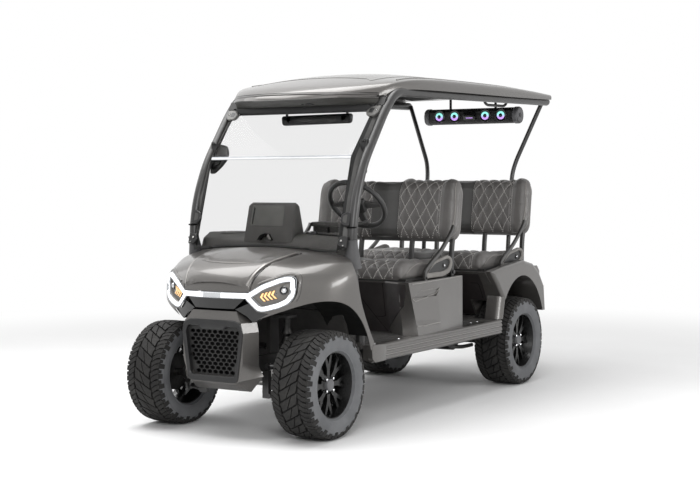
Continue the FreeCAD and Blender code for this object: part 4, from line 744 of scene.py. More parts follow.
def cross_outline(outline, centre, ray):
    """Where a ray from the centre leaves a closed flat outline."""
    best = 0.0
    for here, after in zip(outline, outline[1:] + outline[:1]):
        edge = after - here
        cross = ray.x * edge.y - ray.y * edge.x
        if abs(cross) < 1e-9:
            continue
        gap = here - centre
        far = (gap.x * edge.y - gap.y * edge.x) / cross
        share = (gap.x * ray.y - gap.y * ray.x) / cross
        if -1e-6 <= share <= 1 + 1e-6:
            best = max(best, far)
    return centre + ray * best


def ray_rings(outlines, centre, count):
    """The same number of points on each of several outlines, seen from a centre."""
    centre = Vector(centre)
    rays = circle(1.0, count)
    return [[cross_outline(outline, centre, ray) for ray in rays] for outline in outlines]


# A line of sight starts FAR away. One that misses takes the place nearest to its REACH.
FAR = 3.0
REACH = 1.7


def sight(view, a, b):
    """The start and the direction of a line of sight at two of the three coordinates."""
    if view == "front":
        return at(a, -FAR, b), (0, 1, 0)
    if view == "top":
        return at(a, b, FAR), (0, 0, -1)
    return at(FAR, a, b), (-1, 0, 0)


class Skin:
    """The outside of some nodes, on which pieces are laid."""

    def __init__(self, *names):
        points = []
        faces = []
        for name in names:
            start = len(points)
            mesh = nodes[name].data
            points.extend(vertex.co.copy() for vertex in mesh.vertices)
            faces.extend(tuple(start + i for i in face.vertices) for face in mesh.polygons)
        self.tree = BVHTree.FromPolygons(points, faces)

    def hit(self, start, direction, reach=REACH):
        """The place and the outward normal where a line meets the skin, or the nearest at its reach."""
        start = Vector(start)
        direction = Vector(direction).normalized()
        place, normal, _, _ = self.tree.ray_cast(start, direction)
        if place is None:
            place, normal, _, _ = self.tree.find_nearest(start + direction * reach)
        if normal.dot(direction) > 0:
            normal = -normal
        return place, normal

    def seen(self, view, a, b, reach=REACH):
        """The place and the normal seen from the front, the top or the side."""
        return self.hit(*sight(view, a, b), reach)

    def front(self, x, z, height=0.0):
        """A point seen from the front."""
        place, normal = self.seen("front", x, z)
        return place + normal * height

    def top(self, x, y, height=0.0):
        """A point seen from above."""
        place, normal = self.seen("top", x, y)
        return place + normal * height

    def strip(self, view, line, section, height=0.0, reach=REACH, loop=False):
        """A section carried along a line on the skin."""
        found = [self.seen(view, a, b, reach) for a, b in line]
        places = [place + normal * height for place, normal in found]
        return sweep(places, section, [normal for _, normal in found], loop)


class Form:
    """Points and faces of one piece, gathered part by part, each part with its finish."""

    def __init__(self):
        self.points = []
        self.faces = []
        self.finish = []

    def add(self, shape, finish):
        """Adds a part with its finish."""
        points, faces = shape
        start = len(self.points)
        self.points.extend(Vector(point) for point in points)
        self.faces.extend(tuple(start + index for index in face) for face in faces)
        self.finish.extend([finish] * len(faces))
        return self

    def mirror(self):
        """Adds the same parts on the other side of the middle."""
        start = len(self.points)
        self.points.extend([Vector((-p.x, p.y, p.z)) for p in self.points])
        self.faces.extend([tuple(start + i for i in reversed(face)) for face in self.faces])
        self.finish.extend(list(self.finish))
        return self

    def make(self, name, body, slot, replaces=(), sharp=32.0):
        """Makes the object, rides it on its body and hides the nodes that it stands for."""
        mesh = bpy.data.meshes.new(name)
        mesh.from_pydata(self.points, [], self.faces)
        kinds = list(dict.fromkeys(self.finish))
        for kind in kinds:
            mesh.materials.append(finish_of[kind])
        mesh.polygons.foreach_set("material_index", [kinds.index(kind) for kind in self.finish])
        mesh.polygons.foreach_set("use_smooth", [True] * len(self.faces))
        shape = bmesh.new()
        shape.from_mesh(mesh)
        bmesh.ops.recalc_face_normals(shape, faces=shape.faces[:])
        shape.to_mesh(mesh)
        shape.free()
        mesh.set_sharp_from_angle(angle=math.radians(sharp))
        piece = bpy.data.objects.new(name, mesh)
        bpy.context.scene.collection.objects.link(piece)
        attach(piece, body)
        if replaces:
            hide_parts(*replaces)


# Nose


NOSE = Skin("front_cowl", "hood_panel", "light_band", "headlamps", "nose_panels")
HOOD = Skin("hood_panel", "front_cowl")
COWL = Skin("front_cowl")

LAMP_RING = [
    (0.207, 0.767),
    (0.286, 0.8195),
    (0.364, 0.854),
    (0.398, 0.862),
    (0.417, 0.857),
    (0.4215, 0.817),
    (0.418, 0.778),
    (0.404, 0.746),
    (0.362, 0.7225),
    (0.296, 0.7035),
    (0.268, 0.7045),
]
RING_HALF = 0.0115
RING_RISE = 0.007
BAND_LEVEL = 0.772
BAND_HALF = 0.0145
BAND_END = 0.214


def ring_outline():
    """The middle line of the light round the left lamp."""
    return rounded(LAMP_RING, 0.014, 3)


def make_lights():
    """The lit rings and the bar that joins them, with a plain plate in its middle, and thin grey strips of
    painted shade along their edges.
    """
    form = Form()
    ring = ring_outline()
    edge = dome(0.0022, 0.0045, 5)
    form.add(NOSE.strip("front", ring, dome(RING_HALF, RING_RISE, 9), loop=True), "white")
    # Grey strips of painted shade along both edges of the ring.
    for offset in (-RING_HALF - 0.002, RING_HALF + 0.0016):
        form.add(NOSE.strip("front", inset(ring, offset), edge, loop=True), "tube_edge_painted_shade")
    form.mirror()
    for half, level, section, finish in (
        (BAND_END, BAND_LEVEL, dome(BAND_HALF, RING_RISE, 9), "white"),
        (0.205, BAND_LEVEL + BAND_HALF, edge, "tube_edge_painted_shade"),
        (0.19, BAND_LEVEL - BAND_HALF, edge, "tube_edge_painted_shade"),
    ):
        form.add(NOSE.strip("front", level_line(half, level, 12), section), finish)
    plate_line = level_line(0.058, BAND_LEVEL, 6)
    form.add(NOSE.strip("front", plate_line, bar(0.0125, -0.002, 0.009)), "badge")
    form.make("light_band_tubes", "chassis", "light", ["light_band"])


FLANGE_LOWEST = 0.738


def make_lamp_bezels():
    """The dark joint over each lamp and the painted flange outside it."""
    form = Form()
    ring = ring_outline()
    for offset, section, finish, innermost in (
        (-0.0168, bar(0.003, -0.003, 0.001), "gloss", 0.226),
        (-0.0262, dome(0.0066, 0.0042, 7), "paint", 0.229),
        (-0.034, bar(0.001, -0.002, 0.0006, 0.0003), "gloss", 0.232),
    ):
        line = inset(ring, offset)
        kept = [p for p in line if p.x >= innermost and p.y >= FLANGE_LOWEST]
        form.add(NOSE.strip("front", kept, section), finish)
    form.mirror()
    form.make("lamp_bezels", "chassis", "body_paint")


CHEVRONS = 4
CHEVRON_STEP = Vector((0.0180, 0.0047))
CHEVRON_START = Vector((0.267, 0.765))
CHEVRON = [
    (0.0, 0.0),
    (0.0105, 0.021),
    (0.0200, 0.022),
    (0.0112, -0.001),
    (0.0300, -0.0215),
    (0.0190, -0.0215),
]
LAMP_DEPTH = 0.012
PROJECTOR = (0.381, 0.801)


def make_lamp_units():
    """Grey lamp faces with lit amber chevrons, and a projector in its cup."""
    form = Form()
    face = inset(ring_outline(), RING_HALF + 0.001)
    wall = [(0.0, 0.002), (0.0, -0.006), (0.002, -LAMP_DEPTH)]
    form.add(relief(face, wall, NOSE.front, foot=False, top=False), "lamp_face")
    centroid = sum(face, Vector((0.0, 0.0))) / len(face)
    floor = [(0.0, -LAMP_DEPTH), (0.25, -0.0125), (0.5, -0.013), (0.75, -0.013), (0.97, -0.013)]
    form.add(collar(inset(face, 0.002), [centroid] * len(face), floor, NOSE.front), "lamp_face")
    frame_profile = [(-0.0022, -0.0125), (-0.0022, -0.0095), (-0.0004, -0.0085)]
    lit_profile = [(0.0, -LAMP_DEPTH), (0.0, -0.0065), (0.0015, -0.0055)]
    for index in range(CHEVRONS):
        shift = CHEVRON_START + index * CHEVRON_STEP
        outline = [Vector(corner) + shift for corner in CHEVRON]
        form.add(relief(outline, frame_profile, NOSE.front), "amber_edge")
        form.add(relief(outline, lit_profile, NOSE.front), "amber")
    _, normal = NOSE.seen("front", *PROJECTOR)
    base = NOSE.front(*PROJECTOR, -LAMP_DEPTH)
    cup = [(0.0, 0.0235), (0.004, 0.0235), (0.005, 0.0195), (0.001, 0.0185), (0.001, 0.0)]
    form.add(turned(cup, base, normal, 40), "gloss")
    angles = [math.pi / 2 * step / 8 for step in range(1, 9)]
    ball = [(0.0, 0.0165)]
    ball += [(0.0125 * math.sin(angle), 0.0165 * math.cos(angle)) for angle in angles]
    form.add(turned(ball, base, normal, 36), "chrome")
    form.mirror()
    form.make("headlamp_units", "chassis", "lens", ["headlamps"])


HOOD_EDGE = (
    (-1.418, 0.2175),
    (-1.40, 0.221),
    (-1.329, 0.247),
    (-1.25, 0.268),
    (-1.14, 0.287),
    (-1.04, 0.300),
)
HOOD_REAR = -1.030
HOOD_FRONT = -1.424
HOOD_RISE = 0.010
CHAMFER = 0.019
CREASE_BEND = 1.05


def hood_line(first, step, count, inward=0.0):
    """Places along the left seam of the hood, moved inward."""
    along = [first + step * index for index in range(count)]
    return [(looked_up(HOOD_EDGE, y) - inward, y) for y in along]


def hood_lift(aside, ahead, behind, past, x):
    """How far the raised middle stands above the hood, less its scoop."""
    edge = min(aside, ahead, behind * 1.6 + 0.002)
    lift = HOOD_RISE * ease(edge, 0.0, CHAMFER) * (0.35 + 0.65 * ease(edge, 0.0, 0.012))
    inside = ease(0.205 - abs(x), 0.0, 0.05)
    return lift - 0.0065 * ease(past, -0.004, 0.010) * (1 - ease(past, 0.03, 0.20)) * inside


def make_hood():
    """The raised middle of the hood, with chamfers and a shallow scoop behind its crease, and lighter strips
    of painted highlight along the chamfers and the crease.
    """
    rows = 60
    columns = 64
    top = []
    low = []
    for row in range(rows + 1):
        y = HOOD_FRONT + (HOOD_REAR - HOOD_FRONT) * row / rows
        half = looked_up(HOOD_EDGE, y) - 0.003
        ring = []
        under = []
        for column in range(columns + 1):
            across = column / columns * 2 - 1
            across = math.copysign(1 - (1 - abs(across)) ** 1.35, across)
            x = across * half
            front = -1.4235 + 0.016 * (x / 0.2175) ** 2
            here = max(y, front)
            place, normal = HOOD.hit(at(x, here, 1.6), (0, 0, -1), 0.80)
            ahead = (place.z - 0.815) * 0.9 + (here - front)
            past = here + 1.322 - CREASE_BEND * x * x
            lift = hood_lift(half - abs(x), ahead, HOOD_REAR - here, past, x)
            ring.append(place + normal * (lift + 0.0006))
            under.append(place - normal * 0.004)
        top.append(ring)
        low.append(under)
    form = Form().add(skirted(top, low), "paint")
    form.make("hood_skin", "chassis", "body_paint", sharp=24)
    seam = Form()
    seam.add(HOOD.strip("top", hood_line(-1.416, 0.012, 33), bar(0.0028, -0.002, 0.0012)), "gloss")
    seam.mirror()
    rear = level_line(0.300, HOOD_REAR + 0.002, 14)
    seam.add(HOOD.strip("top", rear, bar(0.0022, -0.002, 0.001)), "gloss")
    seam.make("hood_seams", "chassis", "black_plastic")
    # Lighter strips of paint along the chamfers and across the crease: painted highlights.
    edge = Form()
    chamfer_line = hood_line(-1.404, 0.011, 32, 0.0125)
    chamfer_highlight_section = bar(0.005, -0.004, 0.001, 0.0006)
    edge.add(HOOD.strip("top", chamfer_line, chamfer_highlight_section, 0.0096), "painted_highlight")
    edge.mirror()
    arc = [(x, y + CREASE_BEND * x**2) for x, y in level_line(0.150, -1.318, 12)]
    edge.add(HOOD.strip("top", arc, dome(0.0024, 0.0012, 5, 0.004), 0.0102), "painted_highlight")
    edge.make("hood_painted_highlights", "chassis", "body_paint")


GRILLE_FRAME = both_sides([(0.150, 0.640), (0.190, 0.624), (0.204, 0.568), (0.166, 0.316), (0.146, 0.305)])
GRILLE_MOUTH = both_sides(
    [(0.072, 0.588), (0.090, 0.606), (0.168, 0.604), (0.180, 0.570), (0.150, 0.350), (0.136, 0.338)]
)
GRILLE_CENTRE = (0.0, 0.47)
NOSE_SHADE_OUTLINE = both_sides([(0.196, 0.66), (0.225, 0.70), (0.19, 0.755)])
BUMPER_FACE = -1.446


def make_grille_frame():
    """A black frame with a notched lip round the mesh, and a near-black sheet of painted shade behind it."""
    outer = rounded(GRILLE_FRAME, 0.012, 4)
    mouth = rounded(GRILLE_MOUTH, 0.008, 4)
    place = front_plane(BUMPER_FACE)
    lip = 0.0072
    profile = [(0.0, -0.002), (0.0, 0.004), (0.12, lip), (0.82, lip), (1.0, 0.003), (1.0, -0.020)]
    rings = ray_rings((outer, mouth), GRILLE_CENTRE, 180)
    form = Form().add(collar(*rings, profile, place), "frame_black")
    form.add(relief(inset(outer, 0.012), inlay(-0.052, -0.048), place), "void")
    form.make("grille_frame", "chassis", "black_plastic")


def make_nose_painted_shade():
    """A near-black sheet of painted shade that closes the gaps between the nose panels and the bumper."""
    form = Form().add(relief(NOSE_SHADE_OUTLINE, inlay(-0.006, 0.0), front_plane(-1.372)), "void")
    form.make("nose_painted_shade", "chassis", "black_plastic")


make_lights()
make_lamp_bezels()
make_lamp_units()
make_hood()
make_grille_frame()
make_nose_painted_shade()


# Wheels


PITCHES = 30
PITCH = 2 * math.pi * TYRE_RADIUS / PITCHES
TREAD_DEPTH = 0.013
ROW_GROOVE = 0.0088
SLIT = 0.0042
ROW_SLOPE = 0.58
SHOULDER_SLOPE = -0.72
WHEELS = ("front_left", "front_right", "rear_left", "rear_right")


def crown(across):
    """How far the tread falls below the tyre's full radius."""
    flat = 0.003 * (across / 0.1) ** 2
    return flat + 0.010 * max(0.0, (abs(across) - 0.088) / 0.022) ** 2


def tread_place(hub, side):
    """Puts (round, across, height) on the tread."""

    def place(around, across, height):
        angle = around / TYRE_RADIUS
        radius = TYRE_RADIUS - crown(across) + height
        spoke = Vector((0, math.sin(angle), math.cos(angle))) * radius
        return hub + Vector((side * across, 0, 0)) + spoke

    return place


def shoulder_place(hub, side):
    """Puts (round, down, height) on the slope between the tread and the sidewall."""

    def place(around, down, height):
        angle = around / TYRE_RADIUS
        radius = 0.2800 - 0.92 * down + 0.35 * height
        across = 0.1085 + 0.42 * down - 3.2 * down * down + 0.93 * height
        return hub + Vector((side * across, math.sin(angle) * radius, math.cos(angle) * radius))

    return place


def centre_blocks():
    """The two slanted blocks of one row, as (round, across) corners."""
    tall = PITCH - ROW_GROOVE

    def corner(across, high):
        return Vector((ROW_SLOPE * across + high * tall, across))

    left = [
        corner(-0.0500, 0.0),
        corner(-0.0180, 0.0),
        corner(-0.0060, 0.34),
        corner(-0.0010, 0.52),
        corner(0.0120, 1.0),
        corner(-0.0600, 1.0),
        corner(-0.0520, 0.55),
    ]
    right = [
        corner(-0.0180 + SLIT * 1.5, 0.0),
        corner(0.0460, 0.0),
        corner(0.0500, 0.45),
        corner(0.0560, 1.0),
        corner(0.0120 + SLIT * 1.5, 1.0),
        corner(-0.0010 + SLIT * 1.5, 0.52),
        corner(-0.0060 + SLIT * 1.5, 0.34),
    ]
    return left, right


def shoulder_blocks(near):
    """The two halves of one shoulder block, as (round, across) corners."""
    tall = (PITCH - ROW_GROOVE) / 2
    halves = []
    for first in (0.0, tall + SLIT / 2):
        high = tall - SLIT / 2
        inner = near + 0.10 * first
        halves.append(
            [
                Vector((first, inner)),
                Vector((first + SHOULDER_SLOPE * 0.024, inner + 0.024)),
                Vector((first + SHOULDER_SLOPE * 0.036, 0.108)),
                Vector((first + SHOULDER_SLOPE * 0.036 + high, 0.108)),
                Vector((first + SHOULDER_SLOPE * 0.024 + high, inner + 0.026)),
                Vector((first + high, inner + 0.10 * high)),
            ]
        )
    return halves


SIDEWALL = (
    (0.094, 0.1765),
    (0.1085, 0.1835),
    (0.1140, 0.1860),
    (0.1155, 0.1895),
    (0.1150, 0.1925),
    (0.1195, 0.2000),
    (0.1228, 0.2120),
    (0.1243, 0.2260),
    (0.1238, 0.2400),
    (0.1222, 0.2480),
    (0.1228, 0.2496),
    (0.1218, 0.2520),
    (0.1185, 0.2620),
    (0.1145, 0.2700),
    (0.1080, 0.2770),
)
ROUND_TYRE = 120


def make_tyre(corner, hub, side):
    """A tyre with a smooth bulging sidewall, zigzag blocks and shoulder lugs."""
    form = Form()
    wall = [(side * across, radius) for across, radius in SIDEWALL]
    inner = [(-side * across, radius) for across, radius in SIDEWALL]
    base = TYRE_RADIUS - TREAD_DEPTH
    tread = [(side * across, base - crown(across)) for across in (0.1, 0.06, 0.0, -0.06, -0.1)]
    # The sidewalls take rubber lighter than the tread, partly a painted sheen, and the floor of the grooves
    # takes a darker rubber that is painted shade.
    for profile, finish in (
        (wall, "sidewall"),
        ([wall[-1], *tread, inner[-1]], "tread_base"),
        (inner, "sidewall"),
        ([inner[0], wall[0]], "tread_base"),
    ):
        form.add(bands(turned_rings(profile, hub, (1, 0, 0), ROUND_TYRE)), finish)
    blocks = [*centre_blocks(), *shoulder_blocks(0.0565)]
    for outline in shoulder_blocks(0.0600):
        blocks.append([Vector((0.030 + 0.45 * PITCH - point.x, -point.y)) for point in outline])
    profile = [(0.0, -TREAD_DEPTH - 0.002), (0.0, -0.0012), (0.0011, 0.0)]
    lug = [(0.0, -0.004), (0.0, 0.0050), (0.0014, 0.0064)]
    for index in range(PITCHES):
        turn = Vector((index * PITCH, 0.0))
        for outline in blocks:
            form.add(relief([point + turn for point in outline], profile, tread_place(hub, side)), "tread")
        long = 0.036 if index % 2 else 0.027
        for first, span, reach in ((0.002, 0.030, long), (0.036, 0.019, 0.018)):
            start = (index + 0.5) * PITCH + first - 0.030
            outline = [(start, -0.004), (start + span, -0.004), (start + span, reach), (start, reach)]
            form.add(relief(outline, lug, shoulder_place(hub, side)), "tread")
            moved = [(around + 0.4 * PITCH, down) for around, down in outline]
            form.add(relief(moved, lug, shoulder_place(hub, -side)), "tread")
    name = f"tyre_{corner}"
    form.make(f"{name}_rubber", f"wheel_{corner}", "tyre", [name], sharp=38)


NUTS = 4
NUT_CIRCLE = 0.0445
VALVE_CIRCLE = 0.158
VALVE_ANGLE = math.radians(205)


def spoke(angle, radius):
    """A step outward from the middle of a wheel."""
    return Vector((0, math.cos(angle), math.sin(angle))) * radius


def make_wheel_details(corner, hub, side):
    """The nuts, the grey cap, the valve and the brake drum behind the spokes."""
    form = Form()
    out = Vector((side, 0, 0))
    seat = [(0, 0.0118), (0.003, 0.0118), (0.004, 0.0088)]
    nut = [(0.003, 0.0085), (0.015, 0.0085), (0.017, 0.006), (0.019, 0.0015)]
    for index in range(NUTS):
        spot = hub + out * 0.060 + spoke(math.pi / 4 + index * math.pi / 2, NUT_CIRCLE)
        form.add(turned(seat, spot, out, 18), "rim")
        form.add(turned(nut, spot, out, 6), "chrome")
    cap = [(0.058, 0.034), (0.074, 0.033), (0.077, 0.031)]
    cap += [(0.0775, 0.026), (0.0765, 0.024), (0.0772, 0.001)]
    form.add(turned(cap, hub, out, 40), "cap")
    spot = hub + out * 0.082 + spoke(VALVE_ANGLE, VALVE_CIRCLE)
    form.add(tube([spot - out * 0.02, spot, spot + out * 0.024], [0.0058, 0.005, 0.0036]), "rubber")
    form.make(f"wheel_details_{corner}", f"wheel_{corner}", "rim")
    profile = [(-0.012, 0.060), (-0.014, 0.098), (-0.012, 0.104), (0.000, 0.1045), (0.002, 0.1010)]
    profile += [(0.026, 0.0985), (0.030, 0.094), (0.032, 0.040)]
    drum = Form().add(turned(profile, hub, out, 56), "iron")
    drum.make(f"brake_drum_{corner}", f"wheel_{corner}", "steel")


def make_wheels():
    """Dresses the four wheels."""
    for corner in WHEELS:
        hub = middle(f"tyre_{corner}")
        side = 1 if hub.x > 0 else -1
        make_tyre(corner, hub, side)
        make_wheel_details(corner, hub, side)


make_wheels()


# Seats


SEAT_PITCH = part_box("seat_bottom_rear")[0].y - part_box("seat_bottom_front")[0].y
BACK_RAKE = math.radians(9.0)
QUILT_INNER = 0.108
QUILT_OUTER = 0.394
BACK_DIAMOND = (0.0775, 0.150)
CUSHION_DIAMOND = (0.0775, 0.138)
SPREAD = (Vector((0, 1, -1))).normalized()


def voxel_copy(piece, size):
    """Remeshes a piece into small even faces."""
    modifier = piece.modifiers.new("even", "REMESH")
    modifier.mode = "VOXEL"
    modifier.voxel_size = size
    settle(piece)


def settle(piece):
    """Applies every modifier of a piece."""
    bpy.context.view_layer.update()
    graph = bpy.context.evaluated_depsgraph_get()
    mesh = bpy.data.meshes.new_from_object(piece.evaluated_get(graph))
    piece.modifiers.clear()
    old = piece.data
    piece.data = mesh
    bpy.data.meshes.remove(old)


COVER_FRAMES = 20


def inflate(piece, pressure, cap):
    """Blows the cover up like cloth over foam, with no point moving further than the cap."""
    start = np.zeros(len(piece.data.vertices) * 3)
    piece.data.vertices.foreach_get("co", start)
    cloth = piece.modifiers.new("cover", "CLOTH")
    cloth.settings.use_pressure = True
    cloth.settings.uniform_pressure_force = pressure
    cloth.settings.effector_weights.gravity = 0.0
    cloth.settings.quality = 5
    cloth.point_cache.frame_start = 1
    cloth.point_cache.frame_end = COVER_FRAMES
    scene = bpy.context.scene
    for number in range(1, COVER_FRAMES + 1):
        scene.frame_set(number)
    graph = bpy.context.evaluated_depsgraph_get()
    blown = piece.evaluated_get(graph).to_mesh()
    moved = np.zeros(len(start))
    blown.vertices.foreach_get("co", moved)
    piece.evaluated_get(graph).to_mesh_clear()
    piece.modifiers.clear()
    scene.frame_set(1)
    step = (moved - start).reshape(-1, 3)
    length = np.linalg.norm(step, axis=1, keepdims=True)
    step *= np.minimum(1.0, cap / np.maximum(length, 1e-9))
    piece.data.vertices.foreach_set("co", start + step.ravel())


def smooth_points(piece, turns):
    """Evens out small steps that a voxel remesh leaves."""
    shape = bmesh.new()
    shape.from_mesh(piece.data)
    for _ in range(turns):
        bmesh.ops.smooth_vert(
            shape,
            verts=shape.verts[:],
            factor=0.5,
            use_axis_x=True,
            use_axis_y=True,
            use_axis_z=True,
        )
    shape.to_mesh(piece.data)
    shape.free()


def numpy_ease(value, low, high):
    """Smooth step from 0 to 1, for a whole array."""
    share = np.clip((value - low) / (high - low), 0.0, 1.0)
    return share * share * (3 - 2 * share)


def line_distance(along, across, diamond):
    """How far points are from the nearest line of a diamond pattern."""
    wide, tall = diamond
    slope = tall / wide
    scale = 1 / math.sqrt(1 + slope * slope)
    nearest = None
    for sign in (1, -1):
        offset = (across + sign * slope * along) / tall
        gap = np.abs(offset - np.round(offset)) * tall * scale
        nearest = gap if nearest is None else np.minimum(nearest, gap)
    return nearest


def back_facing(normal):
    """How much a place on a seat back faces its front."""
    return -normal[:, 1] + 0.7 * normal[:, 2]


def cushion_facing(normal):
    """How much a place on a cushion faces up or forward."""
    return normal[:, 2] - 0.9 * normal[:, 1]


def quilt(piece, diamond, low, high, facing, bolster=0.006):
    """Sinks the stitched lines and the seams into the cover."""
    mesh = piece.data
    count = len(mesh.vertices)
    place = np.zeros(count * 3)
    normal = np.zeros(count * 3)
    mesh.vertices.foreach_get("co", place)
    mesh.vertex_normals.foreach_get("vector", normal)
    place = place.reshape(-1, 3)
    normal = normal.reshape(-1, 3)
    x = np.abs(place[:, 0])
    down = place[:, 1] - MIDDLE + place[:, 2]
    front = numpy_ease(facing(normal), 0.25, 0.55)
    inside = numpy_ease(x, QUILT_INNER - 0.002, QUILT_INNER + 0.004)
    inside *= 1 - numpy_ease(x, QUILT_OUTER - 0.004, QUILT_OUTER + 0.002)
    inside *= numpy_ease(down, low, low + 0.006) * (1 - numpy_ease(down, high - 0.006, high))
    inside *= front
    gap = line_distance(x - QUILT_INNER, down, diamond)
    groove = np.exp(-((gap / 0.0042) ** 2))
    pillow = 1 - np.exp(-((gap / 0.017) ** 2))
    lift = inside * (0.0042 * pillow - 0.0034 * groove)
    for seam, depth, wide in ((QUILT_INNER, 0.0045, 0.0055), (QUILT_OUTER, 0.0040, 0.0050)):
        lift -= depth * np.exp(-(((x - seam) / wide) ** 2)) * numpy_ease(facing(normal), -0.2, 0.3)
    lift -= 0.009 * (1 - numpy_ease(x, 0.0, QUILT_INNER)) * front
    lift += bolster * numpy_ease(x, QUILT_OUTER, QUILT_OUTER + 0.045) * front
    place = place + normal * lift[:, None]
    mesh.vertices.foreach_set("co", place.ravel())
    mesh.update()


def stitch_lines(diamond, low, high):
    """The runs of a diamond pattern as pairs of (x, down) ends, on the left half."""
    wide, tall = diamond
    slope = tall / wide
    runs = []
    span = QUILT_OUTER - QUILT_INNER
    for sign in (1, -1):
        first = math.floor((low - slope * span) / tall) - 1
        last = math.ceil((high + slope * span) / tall) + 1
        for number in range(first, last + 1):
            ends = []
            for share in (0.0, 1.0):
                along = span * share
                ends.append((along, number * tall - sign * slope * along))
            (a, da), (b, db) = ends
            marks = []
            for limit in (low, high):
                if (da - limit) * (db - limit) < 0:
                    part = (limit - da) / (db - da)
                    marks.append((a + (b - a) * part, limit))
            kept = [end for end in ends if low <= end[1] <= high] + marks
            if len(kept) == 2 and abs(kept[0][0] - kept[1][0]) > 0.004:
                runs.append([(QUILT_INNER + along, down) for along, down in kept])
    return runs


STITCH_PITCH = 0.0088
STITCH_HALF = 0.0016
STITCH_RISE = 0.0012


def thread_runs(form, tree, runs, offsets):
    """Rows of single stitches along each run, laid on a cover."""
    for (x0, down0), (x1, down1) in runs:
        length = math.hypot(x1 - x0, down1 - down0)
        count = max(1, round(length / STITCH_PITCH))
        aside = Vector(((down1 - down0) / length, -(x1 - x0) / length))
        for offset in offsets:
            for index in range(count):
                ends = []
                for part in (0.12, 0.5, 0.88):
                    share = (index + part) / count
                    x = x0 + (x1 - x0) * share + aside.x * offset
                    down = down0 + (down1 - down0) * share + aside.y * offset
                    ends.append(cover_point(tree, x, down))
                if None not in ends:
                    add_stitch(form, ends)


def cover_point(tree, x, down):
    """The place on a cover with a given x and y + z, and its normal."""
    start = at(x, down / 2, down / 2) - SPREAD * 2.0
    place, normal, _, _ = tree.ray_cast(start, SPREAD)
    if place is None:
        return None
    return place, normal


def add_stitch(form, ends):
    """One thread stitch: a slim spindle."""
    (a, up_a), (b, up_b), (c, up_c) = ends
    along = (c - a).normalized()
    aside = along.cross(up_b).normalized() * STITCH_HALF
    lift = up_b * STITCH_RISE
    points = [a + up_a * 0.0001, c + up_c * 0.0001]
    points += [b + aside + up_b * 0.0002, b + lift + up_b * 0.0002, b - aside + up_b * 0.0002, b - lift]
    faces = [(0, 2, 3), (0, 3, 4), (0, 4, 5), (0, 5, 2), (1, 3, 2), (1, 4, 3), (1, 5, 4), (1, 2, 5)]
    # The pale thread is partly a painted highlight.
    form.add((points, faces), "thread")


def rounded_pad(name, outline, profile, place, finish):
    """A closed pad, remeshed, blown up and evened."""
    form = Form().add(relief(outline, profile, place), finish)
    mesh = bpy.data.meshes.new(name)
    mesh.from_pydata(form.points, [], form.faces)
    piece = bpy.data.objects.new(name, mesh)
    bpy.context.scene.collection.objects.link(piece)
    shape = bmesh.new()
    shape.from_mesh(mesh)
    bmesh.ops.recalc_face_normals(shape, faces=shape.faces[:])
    shape.to_mesh(mesh)
    shape.free()
    voxel_copy(piece, 0.0085)
    smooth_points(piece, 2)
    inflate(piece, 4.0, 0.007)
    smooth_points(piece, 2)
    modifier = piece.modifiers.new("fine", "SUBSURF")
    modifier.levels = 1
    modifier.render_levels = 1
    settle(piece)
    piece.data.materials.clear()
    piece.data.materials.append(finish_of[finish])
    piece.data.polygons.foreach_set("use_smooth", [True] * len(piece.data.polygons))
    return piece


def paint_zones(piece, finish, test):
    """Gives the faces that pass a test a second finish."""
    mesh = piece.data
    mesh.materials.append(finish_of[finish])
    centres = np.zeros(len(mesh.polygons) * 3)
    normals = np.zeros(len(mesh.polygons) * 3)
    mesh.polygons.foreach_get("center", centres)
    mesh.polygons.foreach_get("normal", normals)
    chosen = test(centres.reshape(-1, 3), normals.reshape(-1, 3))
    mesh.polygons.foreach_set("material_index", chosen.astype(np.int32))


def tree_of(piece):
    """A piece's faces, ready for lines of sight."""
    mesh = piece.data
    points = [vertex.co.copy() for vertex in mesh.vertices]
    return BVHTree.FromPolygons(points, [tuple(face.vertices) for face in mesh.polygons])


def piping(form, tree, x, low, high, bow):
    """A corded seam down a cover at a given x."""
    line = []
    count = 40
    for index in range(count + 1):
        share = index / count
        down = low + (high - low) * share
        found = cover_point(tree, x + bow * math.sin(math.pi * share), down)
        if found is not None:
            line.append(found[0] + found[1] * 0.0004)
    if len(line) > 3:
        form.add(tube(line, 0.0030, 6), "piping")


BACK_HALF = 0.534
BACK_FOOT = 0.968
BACK_TALL = 0.424
BACK_REST = 0.342
BACK_WALL = 0.096


def dark_middle(centre, normal):
    """The faces of the plain panel in the middle of a cover."""
    return (np.abs(centre[:, 0]) < QUILT_INNER) & (normal[:, 1] < 0.6)


def declare_cover(piece, node, body):
    """Makes a cover the soft piece that stands for a node."""
    paint_zones(piece, "leather_dark", dark_middle)
    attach(piece, body)
    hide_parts(node)


def sew(form, tree, diamond, low, inner_low, high):
    """The stitches of one half of a cover: its diamonds, a double seam and a single one."""
    outer = QUILT_OUTER + 0.006
    inner = QUILT_INNER - 0.005
    thread_runs(form, tree, stitch_lines(diamond, low, high), (0.0019, -0.0019))
    thread_runs(form, tree, [[(outer, low), (outer, high)]], (0.0, 0.005))
    thread_runs(form, tree, [[(inner, inner_low), (inner, high)]], (0.0,))


